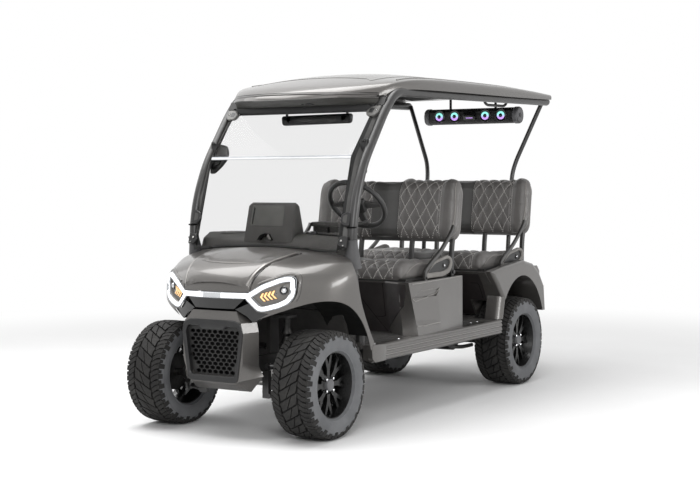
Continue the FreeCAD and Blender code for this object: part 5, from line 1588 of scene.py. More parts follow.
def make_back(row, shift):
    """A raked seat back: quilted panels, a plain dark middle and plain bolsters."""
    up = Vector((0, math.sin(BACK_RAKE), math.cos(BACK_RAKE)))
    out = Vector((0, math.cos(BACK_RAKE), -math.sin(BACK_RAKE)))
    foot = at(0, BACK_REST + shift + 0.010, BACK_FOOT)

    def place(x, tall, depth):
        wrap = 0.026 * ease(abs(x), 0.30, 0.50) - 0.006
        return foot + Vector((x, 0, 0)) + up * tall + out * (depth - wrap * (1 - depth / BACK_WALL))

    half = BACK_HALF - 0.007
    tall = BACK_TALL - 0.006
    outline = rounded([(half, 0.016), (half - 0.004, tall), (-half + 0.004, tall), (-half, 0.016)], 0.098, 8)
    profile = [(0.064, 0.003), (0.034, 0.007), (0.014, 0.020), (0.003, 0.040)]
    profile += [(0.0, 0.056), (0.004, 0.072), (0.022, 0.086)]
    piece = rounded_pad(f"seat_back_{row}_cover", outline, profile, place, "leather")
    low = shift + BACK_REST + BACK_FOOT + 0.020
    high = low + BACK_TALL + 0.052
    quilt(piece, BACK_DIAMOND, low - 0.1, high + 0.1, back_facing, 0.014)
    declare_cover(piece, f"seat_back_{row}", "chassis")
    tree = tree_of(piece)
    form = Form()
    top = high + 0.018
    sew(form, tree, BACK_DIAMOND, low + 0.010, low, top)
    piping(form, tree, 0.492, low + 0.030, top - 0.05, 0.014)
    form.mirror()
    form.make(f"seat_back_{row}_stitches", "chassis", "seat")


CUSHION_HALF = 0.495
HINGE_BEHIND_FRONT = 0.026
HINGE_HEIGHT = 0.7763
LID_OPENING = math.radians(65)
HINGE_ROOM = 0.003


def tuck_front(piece, hinge):
    """Slopes the lower front edge back to the hinge, so that it clears the box when the lid is up."""
    slope = Vector((0, -math.sin(LID_OPENING), -math.cos(LID_OPENING)))
    for vertex in piece.data.vertices:
        ahead = (vertex.co - hinge).dot(slope) + HINGE_ROOM
        if ahead > 0 and vertex.co.y < hinge.y + 0.02:
            vertex.co -= slope * ahead


def make_cushion(row):
    """A cushion with quilted fields that run down over its front."""
    low_corner, high_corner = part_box(f"seat_bottom_{row}")
    front = low_corner.y - MIDDLE
    rear = high_corner.y - MIDDLE
    foot = low_corner.z + 0.002
    top = high_corner.z

    def place(x, y, height):
        swell = 0.012 * ease(abs(x), 0.40, 0.47) * (1 - ease(abs(x), 0.475, 0.50))
        dip = 0.010 * math.exp(-(((abs(x) - 0.27) / 0.12) ** 2)) * ease(height, 0.05, 0.09)
        back = 0.010 * ease(y, rear - 0.16, rear) * ease(height, 0.05, 0.09)
        hang = 0.022 * (1 - ease(y, front + 0.012, front + 0.050)) * (1 - ease(height, 0.0, 0.07))
        return at(x, y, foot + height + swell * ease(height, 0.05, 0.1) - dip - back - hang)

    front_in = front + 0.012
    half = CUSHION_HALF
    outline = rounded([(half, front_in), (half, rear), (-half, rear), (-half, front_in)], 0.075, 7)
    thick = top - foot - 0.024
    profile = [
        (0.010, 0.0),
        (0.001, 0.012),
        (0.0, 0.034),
        (0.002, thick - 0.042),
        (0.010, thick - 0.020),
        (0.026, thick - 0.007),
        (0.050, thick),
    ]
    piece = rounded_pad(f"seat_bottom_{row}_cover", outline, profile, place, "leather")
    low = front + foot
    high = rear + top - 0.03
    quilt(piece, CUSHION_DIAMOND, low - 0.1, high, cushion_facing)
    tuck_front(piece, Vector((0, low_corner.y + HINGE_BEHIND_FRONT, HINGE_HEIGHT)))
    declare_cover(piece, f"seat_bottom_{row}", f"seat_lid_{row}")
    tree = tree_of(piece)
    form = Form()
    start = low + 0.012
    sew(form, tree, CUSHION_DIAMOND, start, start, high)
    form.mirror()
    side_seam = []
    for index in range(29):
        share = index / 28
        y = front + 0.050 + (rear - front - 0.10) * share
        z = foot + 0.030 + 0.052 * math.sin(math.pi * min(1.0, share * 1.25)) ** 0.7
        side_seam.append((y, z))
    for side in (1, -1):
        line = []
        for y, z in side_seam:
            hit, normal, _, _ = tree.ray_cast(at(side * 2.0, y, z), Vector((-side, 0, 0)))
            if hit is not None:
                line.append(hit + normal * 0.0004)
        form.add(tube(line, 0.0028, 6), "piping")
    form.make(f"seat_bottom_{row}_stitches", f"seat_lid_{row}", "seat")


def make_seats():
    """The covers of both rows of seats."""
    for row, shift in (("front", 0.0), ("rear", SEAT_PITCH)):
        make_back(row, shift)
        make_cushion(row)


make_seats()


# Body


POD = Skin("seat_pod")
REAR = Skin("rear_body")
ROOF = Skin("roof")
DASH = Skin("dashboard", "display_pod")
GLASS = Skin("windshield_lower", "windshield_upper")
SILL = Skin("rocker_panels")
ROWS = (0.0, SEAT_PITCH)
POD_BLACK = [(0.521, 0.766), (0.523, 0.745), (0.506, 0.636), (0.344, 0.492), (0.366, 0.468)]
REAR_BLACK = [(0.491, 0.762), (0.478, 0.66), (0.462, 0.55), (0.452, 0.476)]
POD_SEAMS = (
    [(0.172, 0.668), (0.254, 0.567), (0.336, 0.473)],
    [(0.330, 0.764), (0.330, 0.560), (0.262, 0.560)],
)
REAR_SEAMS = (
    [(0.40, 0.70), (0.455, 0.70), (0.445, 0.60), (0.43, 0.50)],
    [(0.20, 0.74), (0.20, 0.50)],
)
PANEL_LIFT = 0.0016


def front_panel(skin, middle_line, edge, rows, columns, seams):
    """The left half of a dark panel on a front, with its seams, which are strips of painted shade."""
    form = Form().add(laid(skin.front, between(middle_line, edge, rows, columns), PANEL_LIFT), "panel")
    section = bar(0.0014, -0.001, 0.0006, 0.0002)
    for seam in seams:
        form.add(skin.strip("front", spaced(seam, 12), section, PANEL_LIFT), "void")
    return form


def make_pod_panels():
    """Near-black panels on the front of the seat pod and of the rear body."""
    form = front_panel(POD, [(0.0, 0.766), (0.0, 0.468)], POD_BLACK, 26, 22, POD_SEAMS)
    form.add(POD.strip("front", spaced(POD_BLACK, 30), dome(0.0022, 0.0016, 5), 0.001), "panel_edge")
    form.mirror().make("pod_front_panels", "chassis", "black_plastic")
    rear = front_panel(REAR, [(0.02, 0.762), (0.02, 0.476)], REAR_BLACK, 22, 18, REAR_SEAMS)
    rear.mirror().make("rear_front_panels", "chassis", "black_plastic")


SCOOP_UPPER = [(-0.262, 0.676), (-0.150, 0.719), (0.085, 0.722), (0.045, 0.690), (-0.235, 0.664)]
SCOOP_LOWER = [(-0.240, 0.520), (-0.132, 0.512), (0.060, 0.516)]


def make_pod_lips():
    """Lips round the pockets and along the top of the seat pod's sides, in a lighter paint that is a painted
    highlight.
    """
    form = Form()
    for line, section in (
        (SCOOP_UPPER + SCOOP_UPPER[:1], dome(0.0030, 0.0036)),
        (SCOOP_LOWER, dome(0.0034, 0.0034)),
        ([(-0.250, 0.764), (0.20, 0.772), (0.392, 0.774)], dome(0.0030, 0.0030)),
    ):
        form.add(POD.strip("side", spaced(line, 46), section, reach=2.45), "painted_highlight")
    form.mirror()
    form.make("seat_pod_lips_painted_highlight", "chassis", "body_paint")


GUARD_OUTER = [
    (-0.055, 0.806),
    (-0.048, 0.785),
    (0.161, 0.785),
    (0.262, 0.806),
    (0.288, 0.862),
    (0.272, 0.898),
    (0.223, 0.914),
    (0.058, 0.888),
]
GUARD_INNER = [
    (-0.026, 0.826),
    (-0.020, 0.817),
    (0.158, 0.817),
    (0.234, 0.832),
    (0.262, 0.866),
    (0.250, 0.884),
    (0.216, 0.893),
    (0.066, 0.870),
]
HIP_BAR = (
    (-0.060, 0.770),
    (-0.062, 0.826),
    (-0.030, 0.852),
    (0.031, 0.886),
    (0.131, 0.942),
    (0.262, 1.044),
    (0.300, 1.090),
)
BACK_POST = ((0.372, 0.774), (0.374, 0.870), (0.382, 0.950), (0.398, 1.030), (0.418, 1.150))


def make_guards():
    """A grey loop beside each cushion, with its dark backing and bolt."""
    form = Form()
    outer = rounded(GUARD_OUTER, 0.030, 5)
    inner = rounded(GUARD_INNER, 0.024, 5)
    rings = ray_rings((outer, inner), (0.12, 0.848), 120)
    edge = [(0.0, 0.0), (0.0, 0.012), (0.16, 0.0165)]
    profile = [*edge, (0.5, 0.0180), *[(1 - share, height) for share, height in reversed(edge)]]
    boss = [(0.0, 0.016), (0.004, 0.016), (0.006, 0.012)]
    for shift in ROWS:
        for side in (1, -1):
            place = side_plane(0.5200, side)
            moved = [[Vector((p.x + shift, p.y)) for p in ring] for ring in rings]
            form.add(collar(*moved, profile, place, closed=True), "guard")
            backing = inset(moved[1], -0.003)
            form.add(relief(backing, inlay(0.002, 0.006), place), "frame_black")
            spot = at(side * 0.5250, 0.186 + shift, 0.852)
            form.add(turned(boss, spot, (side, 0, 0), 24), "powder")
            bolt(form, spot + Vector((side * 0.004, 0, 0)), (side, 0, 0), 0.008, "chrome")
    form.make("seat_guard_loops", "chassis", "black_plastic", ["seat_guards"])


def make_hip_bars():
    """Flat bars that rise from the pod to the seat backs, and the posts behind them."""
    form = Form()
    flat = bar(0.0125, -0.008, 0.008, 0.003)
    post = bar(0.0150, -0.012, 0.012, 0.004)
    for shift in ROWS:
        for side in (1, -1):
            path = [at(side * 0.5345, y + shift, z) for y, z in HIP_BAR]
            form.add(sweep(curve(path, 30), flat, (side, 0, 0)), "bar_grey")
            for x in (0.478, 0.190):
                path = [at(side * x, y + shift, z) for y, z in BACK_POST]
                form.add(sweep(curve(path, 16), post, (side, 0, 0)), "powder")
            bolt(form, at(side * 0.5425, -0.061 + shift, 0.790), (side, 0, 0), 0.006, "iron")
        for y, z in ((0.373, 0.800), (0.414, 1.130)):
            cross = [at(-0.500, y + shift, z), at(0.500, y + shift, z)]
            form.add(tube(cross, 0.0125, 12), "powder")
    form.make("seat_frame_bars", "chassis", "frame_paint", ["seat_frames"])


ROOF_HALF = 0.505
ROOF_FRONT = (
    (0.0, -0.852),
    (0.12, -0.842),
    (0.25, -0.795),
    (0.36, -0.722),
    (0.44, -0.640),
    (0.505, -0.545),
)
VISOR_BACK = -0.556


def make_roof_front():
    """The lips, in a darker paint that is painted shade, with a groove line of painted shade above them; the
    visor under them and the dark strip over the windshield.
    """
    form = Form()
    for level, section, finish in (
        (1.8740, bar(0.0022, -0.003, 0.0004, 0.0002), "void"),
        (1.8660, dome(0.0070, 0.0050, 7, 0.004), "painted_shade"),
    ):
        form.add(ROOF.strip("front", level_line(ROOF_HALF, level, 30), section), finish)
    line = [(x, looked_up(ROOF_FRONT, abs(x)), 0.0) for x, _ in level_line(ROOF_HALF, 0.0, 8)]
    smooth = curve(line, 61)
    lip = [at(p.x, p.y - 0.002, 1.8475) for p in smooth]
    form.add(sweep(lip, dome(0.0060, 0.0050, 7, 0.008), (0, -1, 0)), "painted_shade")
    rows = []
    for share in [step / 6 for step in range(7)]:
        level = 1.8420 - 0.034 * share - 0.006 * math.sin(math.pi * share)
        row = []
        for p in smooth:
            y = p.y + (VISOR_BACK - p.y) * share if p.y < VISOR_BACK else p.y
            row.append(at(p.x * (1 - 0.02 * share), y, level))
        rows.append(row)
    under = [[point + Vector((0, 0, 0.003)) for point in row] for row in rows]
    form.add(shell(rows, under), "visor")
    form.add(block(at(0.108, -0.700, 1.812), at(0.142, -0.660, 1.824)), "frame_black")
    # A small block of painted shade beside the bracket.
    form.add(block(at(0.070, -0.690, 1.8145), at(0.082, -0.664, 1.822)), "void")
    form.add(block(at(-0.492, -0.574, 1.7680), at(0.492, -0.552, 1.8120), 0.005), "frame_black")
    for side in (1, -1):
        bolt(form, at(side * 0.478, -0.590, 1.806), (0, -0.4, -1), 0.005, "iron")
    form.make("roof_front_lips", "chassis", "body_paint")


def make_roof_panel():
    """The raised middle of the roof with its notch, and the gutters along its sides."""
    form = Form()
    front = [(-0.40, -0.46), (-0.34, -0.40), (-0.12, -0.40), (0.12, -0.40), (0.34, -0.40), (0.40, -0.46)]
    rear = [(-0.44, 1.35), (0.44, 1.35)]
    form.add(laid(ROOF.top, between(front, rear, 44, 40), 0.0018, 0.002), "paint")
    for x in (0.515, -0.515):
        gutter = spaced([(x, -0.36), (x, 1.45)], 40)
        form.add(ROOF.strip("top", gutter, dome(0.0055, 0.0045)), "paint")
    form.make("roof_panel", "chassis", "body_paint")


PILLAR = (
    (1.000, -0.902),
    (1.070, -0.911),
    (1.279, -0.870),
    (1.478, -0.781),
    (1.630, -0.664),
    (1.800, -0.532),
)
GLASS_REACH = 2.2
WINDSHIELD_OUT = Vector((0, -0.9, 0.42))


def make_windshield_trim():
    """The joint between the two panes and the rubber strips down their sides."""
    form = Form()
    for level, half, rise, finish in (
        (1.5100, 0.0040, 0.0016, "seam_white"),
        (1.5165, 0.0020, 0.0026, "seam_grey"),
        (1.5035, 0.0016, 0.0020, "seam_pale"),
    ):
        section = bar(half, -0.004, rise, 0.0004)
        form.add(GLASS.strip("front", level_line(0.486, level, 10), section), finish)
    for side in (1, -1):
        for near, far, finish in ((0.0, 0.45, "rubber_black"), (0.45, 1.0, "clip_grey")):
            rows = []
            for index in range(41):
                z = 1.000 + 0.795 * index / 40
                spot, _ = GLASS.seen("front", side * 0.484, z, GLASS_REACH)
                spot.x = side * 0.4865
                post = at(side * 0.5265, looked_up(PILLAR, z) - 0.004, z)
                rows.append([spot.lerp(post, near), spot.lerp(post, far)])
            form.add(plate(rows, WINDSHIELD_OUT, 0.0040 + 0.002 * near), finish)
    foot = GLASS.strip("front", level_line(0.487, 0.996, 10), bar(0.0070, -0.006, 0.005, 0.002))
    form.add(foot, "rubber_black")
    form.make("windshield_trim", "chassis", "glass")


HINGE = [
    (0.545, 1.612),
    (0.510, 1.604),
    (0.474, 1.578),
    (0.452, 1.540),
    (0.452, 1.502),
    (0.474, 1.464),
    (0.512, 1.424),
    (0.545, 1.420),
]
HINGE_SLOT = [(0.512, 1.580), (0.490, 1.562), (0.474, 1.530), (0.480, 1.522), (0.500, 1.548), (0.520, 1.566)]
HINGE_LOW = [(0.508, 1.500), (0.484, 1.500), (0.478, 1.482), (0.512, 1.450)]
TOP_CLIP = [(0.535, 1.800), (0.480, 1.796), (0.450, 1.770), (0.466, 1.742), (0.512, 1.738), (0.535, 1.760)]
TOP_WINDOW = [(0.505, 1.784), (0.476, 1.780), (0.472, 1.758), (0.500, 1.756)]
FOOT_CLIP = [(0.545, 1.205), (0.520, 1.206), (0.488, 1.190), (0.484, 1.150), (0.508, 1.128), (0.545, 1.126)]
GRIP_FACE = [(0.528, 1.190), (0.502, 1.182), (0.502, 1.150), (0.528, 1.142)]
LOW_HINGE = [(0.545, 1.075), (0.498, 1.070), (0.484, 1.040), (0.500, 1.016), (0.545, 1.010)]
SPINE = [(0.462, 1.545), (0.456, 1.520), (0.466, 1.492), (0.490, 1.456)]
CLIP_PARTS = (
    (HINGE, 0.010, 3, slab(-0.010, 0.011, 0.004, 0.005), "frame_black"),
    # The hinge's two slots are insets of painted shade.
    (HINGE_SLOT, 0.004, 2, inlay(0.009, 0.0116), "void"),
    (HINGE_LOW, 0.004, 2, inlay(0.009, 0.0116), "void"),
    (TOP_CLIP, 0.010, 3, slab(-0.012, 0.012), "clip_pale"),
    (TOP_WINDOW, 0.005, 2, inlay(0.010, 0.0128), "frame_black"),
    (FOOT_CLIP, 0.012, 3, slab(-0.008, 0.012), "frame_black"),
    (GRIP_FACE, 0.006, 2, inlay(0.010, 0.0126), "clip_grey"),
    (LOW_HINGE, 0.012, 3, slab(-0.010, 0.012), "frame_black"),
)
CLIP_BOLTS = ((0.518, 1.772, 0.005), (0.512, 1.046, 0.0065), (0.528, 1.020, 0.0045))
RIBS = ((1.596, 0.020), (1.560, 0.036), (1.520, 0.036), (1.480, 0.036), (1.444, 0.020))
RIB_EDGE = 0.536


def leaning(side):
    """Puts (x, z, height) on the plane of the windshield, on one side."""

    def place(x, z, height):
        spot, _ = GLASS.seen("front", side * min(x, 0.47), z, GLASS_REACH)
        chord = at(0, -0.958 + 0.402 * (z - 1.010) / 0.79, z).y
        y = spot.y if abs(spot.y - chord) < 0.08 else chord
        return Vector((side * x, y, z)) + WINDSHIELD_OUT * height

    return place


def make_clips():
    """The hinges of the folding windshield, its upper catches and its side grip."""
    form = Form()
    for side in (1, -1):
        place = leaning(side)
        for outline, radius, steps, profile, finish in CLIP_PARTS:
            form.add(moulded(outline, radius, steps, profile, place), finish)
        for level, wide in RIBS:
            inner = RIB_EDGE - wide
            rib = [(RIB_EDGE, level + 0.004), (inner, level - 0.004)]
            rib += [(inner, level - 0.011), (RIB_EDGE, level - 0.004)]
            form.add(relief(rib, [(0.0, 0.008), (0.0, 0.013), (0.001, 0.014)], place), "clip_grey")
        form.add(tube([place(p.x, p.y, 0.012) for p in spaced(SPINE, 12)], 0.0045, 8), "clip_grey")
        for x, z, radius in CLIP_BOLTS:
            bolt(form, place(x, z, 0.012), WINDSHIELD_OUT, radius)
    form.make("windshield_hinges", "chassis", "black_plastic", ["windshield_clips"])


MIRROR_SHELL = [(0.250, 1.770), (0.244, 1.712), (-0.244, 1.706), (-0.250, 1.764)]
MIRROR_GLASS = [(0.232, 1.756), (0.228, 1.722), (-0.228, 1.717), (-0.232, 1.751)]
MIRROR_BULGE = [
    (0.140, 1.760),
    (0.150, 1.745),
    (0.144, 1.722),
    (-0.144, 1.718),
    (-0.152, 1.741),
    (-0.140, 1.757),
]


def make_mirror():
    """The wide mirror under the roof: a dark housing with a ribbed bulge, and its glass behind."""
    form = Form()
    low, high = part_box("rear_view_mirror")
    y = (low.y + high.y) / 2 - MIDDLE
    place = front_plane(y)
    housing = [(0.010, -0.0155), (0.002, -0.013), (0.0, -0.008)]
    housing += [(0.0, 0.006), (0.003, 0.012), (0.008, 0.0145)]
    form.add(moulded(MIRROR_SHELL, 0.020, 5, housing, place), "frame_black")
    bulge = [(0.0, 0.010), (0.002, 0.0155), (0.010, 0.0190), (0.018, 0.0200)]
    form.add(moulded(MIRROR_BULGE, 0.012, 4, bulge, place), "mirror_grey")
    ring = [(0.0, 0.0185), (0.003, 0.0180), (0.004, 0.0150), (0.001, 0.0145)]
    knob = [(0.0, 0.0075), (0.006, 0.0065), (0.007, 0.003)]
    for side in (1, -1):
        spot = at(side * 0.196, y - 0.0135, 1.741)
        form.add(turned(ring, spot, (0, -1, 0), 28), "gloss")
        form.add(turned(knob, spot, (0, -1, 0), 6), "void")
        x = side * 0.215
        stem = [at(x, y, 1.760), at(x, y + 0.002, 1.80), at(x, y + 0.004, high.z)]
        form.add(tube(stem, 0.008, 12), "frame_black")
    form.add(moulded(MIRROR_GLASS, 0.014, 4, inlay(0.012, 0.0160), front_plane(y, 1)), "mirror")
    form.make("mirror_housing", "chassis", "mirror", ["rear_view_mirror"])


DISPLAY_PANEL = [(0.056, 0.216), (0.056, 0.096), (-0.170, 0.096), (-0.170, 0.216)]
DISPLAY_SLOT = [(-0.156, 0.206), (-0.147, 0.196), (-0.150, 0.104), (-0.158, 0.104)]
CATCH = [
    (-0.096, 0.010),
    (-0.080, 0.036),
    (-0.052, 0.048),
    (-0.018, 0.046),
    (0.008, 0.011),
    (-0.012, 0.009),
    (-0.030, 0.029),
    (-0.062, 0.030),
    (-0.074, 0.009),
]
CHEEK = [(-0.019, 0.0445), (0.0065, 0.0115), (-0.010, 0.0105), (-0.029, 0.030)]
DASH_TOP = 1.030


def make_dash():
    """The inset of the display housing, the catch at its foot, the shroud and small dash details."""
    form = Form()
    face = plane(at(0, -0.890, DASH_TOP), (1, 0, 0), (0, 0.060, 0.224))
    panel = rounded(DISPLAY_PANEL, 0.006, 3)
    rim = [(-0.005, -0.002), (-0.005, 0.0006), (0.0, 0.0006)]
    form.add(relief(panel, rim, face, top=False), "dash_dark")
    form.add(relief(panel, [(0.0, -0.002), (0.0, 0.0016), (0.003, 0.0026)], face), "dash_light")
    # The slot beside the inset is painted shade.
    form.add(relief(DISPLAY_SLOT, inlay(0.0, 0.0036), face), "void")
    form.add(relief(CATCH, [(0.0, -0.004), (0.0, 0.016), (0.003, 0.019)], face), "void")
    form.add(relief(CHEEK, [(0.001, 0.017), (0.001, 0.0205)], face), "guard")
    form.add(block(at(0.152, -0.700, 1.010), at(0.330, -0.604, 1.124), 0.010), "dash_dark")
    form.add(block(at(0.144, -0.712, 1.116), at(0.338, -0.596, 1.142), 0.009), "dash")
    # The slot in the shroud is painted shade.
    form.add(block(at(0.262, -0.7125, 1.060), at(0.270, -0.700, 1.112), 0.002), "void")
    knob = [(-0.004, 0.034), (0.004, 0.034), (0.010, 0.030), (0.014, 0.018), (0.0155, 0.001)]
    form.add(turned(knob, DASH.top(0.205, -0.790), (0, 0.1, 1), 36), "gloss")
    # Grooves on the dash top, as strips of painted shade.
    for line, half in (
        ([(0.175, -0.815), (0.440, -0.835)], 0.008),
        ([(-0.175, -0.815), (-0.400, -0.835)], 0.003),
    ):
        form.add(DASH.strip("top", spaced(line, 14), bar(half, -0.002, 0.0008, 0.0003)), "void")
    form.make("dash_details", "chassis", "black_plastic")


PILLAR_FOOT = (
    (0.5495, -0.908, 1.052),
    (0.5460, -0.902, 1.010),
    (0.5430, -0.896, 0.965),
    (0.5390, -0.886, 0.900),
)
PILLAR_STRIP = (
    (0.524, -0.907, 1.060),
    (0.524, -0.866, 1.279),
    (0.521, -0.777, 1.478),
    (0.522, -0.660, 1.630),
    (0.523, -0.562, 1.757),
)


def make_pillar_feet():
    """The sleeve at each pillar's joint and the boot where it meets the cowl."""
    form = Form()
    for side in (1, -1):
        boot = [at(side * x, y, z) for x, y, z in PILLAR_FOOT]
        form.add(tube(boot, [0.0300, 0.0340, 0.0420, 0.0500], 20), "boot")
        cuff = [at(side * 0.5496, -0.9095, 1.056), at(side * 0.5494, -0.9080, 1.047)]
        form.add(tube(cuff, [0.0315, 0.0315], 20), "boot")
        # A thin ring of painted shade at the pillar's joint.
        joint = [at(side * 0.550, -0.9110, 1.128), at(side * 0.550, -0.9110, 1.120)]
        form.add(tube(joint, [0.0278, 0.0278], 20), "void")
        strip = [at(side * x, y, z) for x, y, z in PILLAR_STRIP]
        form.add(sweep(curve(strip, 40), bar(0.0060, -0.004, 0.004, 0.001), (-side, 0, 0)), "rubber_black")
    form.make("pillar_trim", "chassis", "frame_paint")


SPEAKERS = (-0.245, -0.122, 0.122, 0.245)


def make_sound_bar():
    """Lit rings round the speakers, their cones, a small panel and pale end caps."""
    form = Form()
    for x in SPEAKERS:
        spot = at(x, 1.5485, 1.822)
        out = (0, -1, 0)
        ring = [(0.0, 0.0290), (0.005, 0.0280), (0.0075, 0.0250)]
        ring += [(0.0075, 0.0165), (0.004, 0.0140), (-0.002, 0.0140)]
        form.add(turned(ring, spot, out, 40), "ring_light")
        cone = [(0.004, 0.0145), (-0.003, 0.0110), (-0.005, 0.0095)]
        form.add(turned(cone, spot, out, 32), "gloss")
        plug = [(-0.005, 0.0090), (0.004, 0.0080), (0.007, 0.0040), (0.0075, 0.0005)]
        form.add(turned(plug, spot, out, 28), "gloss")
        rim = [(-0.006, 0.0440), (0.001, 0.0440), (0.002, 0.0420), (0.001, 0.0345), (-0.004, 0.0340)]
        form.add(turned(rim, spot, out, 40), "gloss")
    form.add(block(at(-0.048, 1.541, 1.794), at(0.048, 1.552, 1.850), 0.004), "gloss")
    form.add(block(at(-0.026, 1.5395, 1.806), at(0.026, 1.5430, 1.811), 0.001), "ring_light")
    cap = [(-0.034, 0.0570), (-0.030, 0.0600), (-0.006, 0.0600)]
    cap += [(0.000, 0.0560), (0.003, 0.0440), (0.004, 0.0010)]
    nut = [(0.0, 0.018), (0.006, 0.017), (0.007, 0.012)]
    for side in (1, -1):
        end = at(side * 0.368, 1.600, 1.822)
        form.add(turned(cap, end, (side, 0, 0), 40), "cap")
        form.add(turned(nut, end, (side, 0, 0), 6), "frame_black")
    form.make("sound_bar_rings", "chassis", "light")


def make_steering_wheel():
    """A thick moulded rim with three spokes and a rounded pad."""
    centre = middle("steering_wheel")
    up = Vector((0, -0.671, 0.741)).normalized()
    axis = Vector((0, 0.741, 0.671)).normalized()

    def place(x, rise, height):
        return centre + Vector((x, 0, 0)) + up * rise + axis * height

    form = Form()
    ring = 0.1745
    rim = []
    thickness = []
    for index in range(96):
        angle = 2 * math.pi * index / 96
        rim.append(place(ring * math.cos(angle), ring * math.sin(angle), 0.0))
        thickness.append(0.0152 + 0.0012 * math.cos(4 * angle))
    form.add(tube(rim, thickness, 14, loop=True), "wheel_black")
    spokes = (
        [(-0.166, 0.016), (-0.050, 0.030), (-0.050, -0.026), (-0.166, -0.010)],
        [(0.166, 0.016), (0.050, 0.030), (0.050, -0.026), (0.166, -0.010)],
        [(-0.018, -0.166), (-0.026, -0.045), (0.026, -0.045), (0.018, -0.166)],
    )
    for outline in spokes:
        form.add(moulded(outline, 0.006, 3, slab(-0.012, 0.006), place), "wheel_grey")
    pad = [(-0.068, 0.046), (0.068, 0.046), (0.058, -0.048), (-0.058, -0.048)]
    profile = [(0.006, -0.030), (0.0, -0.020), (0.0, 0.004), (0.006, 0.012), (0.018, 0.016)]
    form.add(moulded(pad, 0.024, 5, profile, place), "wheel_black")
    form.make("steering_wheel_rim", "steering_wheel", "black_plastic", ["steering_wheel"])
    lever = Form()
    path = [at(0.285, -0.560, 1.096), at(0.340, -0.520, 1.122), at(0.395, -0.490, 1.142)]
    lever.add(tube(curve(path, 10), [0.006] * 6 + [0.0075, 0.0085, 0.009, 0.0075], 12), "wheel_grey")
    lever.add(block(at(0.216, -0.610, 1.040), at(0.308, -0.520, 1.120), 0.014), "dash_dark")
    lever.make("column_lever", "chassis", "black_plastic")


def make_sills():
    """Ribs, a seam and screws on the running boards: their lines are dark strips of painted shade, each
    beside a lighter strip of painted highlight.
    """
    form = Form()
    rib = bar(0.0013, -0.003, 0.0005, 0.0002)
    painted_highlight_strip = dome(0.0020, 0.0014, 5)
    for level, section, finish in (
        (0.428, rib, "painted_shade"),
        (0.4235, painted_highlight_strip, "painted_highlight"),
        (0.402, rib, "painted_shade"),
        (0.3975, painted_highlight_strip, "painted_highlight"),
    ):
        line = spaced([(-0.700, level), (0.800, level)], 60)
        form.add(SILL.strip("side", line, section, reach=2.4), finish)
    screw = [(-0.002, 0.0085), (0.001, 0.0085), (0.0030, 0.0065), (0.0036, 0.001)]
    for x, y in ((0.555, -0.689), (0.555, -0.417), (0.520, 0.555), (0.520, 0.640), (0.555, 0.100)):
        form.add(turned(screw, at(x, y, 0.4625), (0, 0, 1), 20), "chrome")
    form.mirror()
    form.make("sill_details", "chassis", "body_paint")


def make_underbody():
    """A curved bar under the chassis on each side."""
    form = Form()
    path = [(0.36, 0.372), (0.44, 0.340), (0.54, 0.308), (0.66, 0.292), (0.80, 0.290)]
    form.add(tube(curve([at(0.40, y, z) for y, z in path], 24), 0.0125, 12), "powder")
    form.mirror()
    form.make("step_bars", "chassis", "frame_paint")


def arch_edge(skin, centre, angle, side):
    """Where the painted skin begins on the way out from the middle of a wheel arch."""
    y, z = centre
    for step in range(30, 130):
        reach = step * 0.005
        here = (y + reach * math.cos(angle), z + reach * math.sin(angle))
        spot, _, _, _ = skin.tree.ray_cast(at(3.0 * side, *here), Vector((-side, 0, 0)))
        if spot is not None and abs(spot.x) > 0.46:
            return spot, here
    return None, None


def make_liners():
    """Black liners inside the wheel arches."""
    form = Form()
    arches = (
        (COWL, (-1.10, 0.50), 4, 158, 0.345),
        (REAR, (1.24, 0.46), 8, 146, 0.340),
    )
    for side in (1, -1):
        for skin, centre, first, last, inner in arches:
            rows = []
            for step in range(45):
                angle = math.radians(first + (last - first) * step / 44)
                spot, here = arch_edge(skin, centre, angle, side)
                if spot is None:
                    continue
                row = []
                for part in range(9):
                    share = part / 8
                    x = (abs(spot.x) - 0.006) * (1 - share) + inner * share
                    grow = 0.006 + 0.022 * math.sin(math.pi * share) ** 0.7
                    y = here[0] + grow * math.cos(angle)
                    z = here[1] + grow * math.sin(angle)
                    row.append(at(side * x, y, z))
                rows.append(row)
            if len(rows) > 4:
                form.add(plate(rows, (0, 0, 1), 0.0015), "liner")
    form.make("arch_liners", "chassis", "black_plastic")


def make_fender_legs():
    """The painted feet of the fenders, where they meet the running boards."""
    form = Form()
    foot = [(-0.640, 0.459), (-0.640, 0.367), (-0.762, 0.367)]
    foot += [(-0.784, 0.390), (-0.790, 0.446), (-0.772, 0.466)]
    outline = rounded(foot, 0.010, 3)
    profile = [(0.0, -0.030), (0.0, 0.0030), (0.0015, 0.0048), (0.004, 0.0056)]
    section = [(0.482, 0.002), (0.51, 0.0), (0.545, 0.001), (0.575, 0.006), (0.590, 0.018), (0.594, 0.036)]
    for side in (1, -1):
        form.add(relief(outline, profile, side_plane(0.5990, side)), "paint")
        rows = []
        for index in range(9):
            z = 0.463 + 0.175 * index / 8
            y = 0.828 + 0.26 * (z - 0.463)
            rows.append([at(side * x, y + back, z) for x, back in section])
        form.add(plate(rows, (0, -1, 0.2), 0.0030), "paint")
    form.make("fender_feet", "chassis", "body_paint")


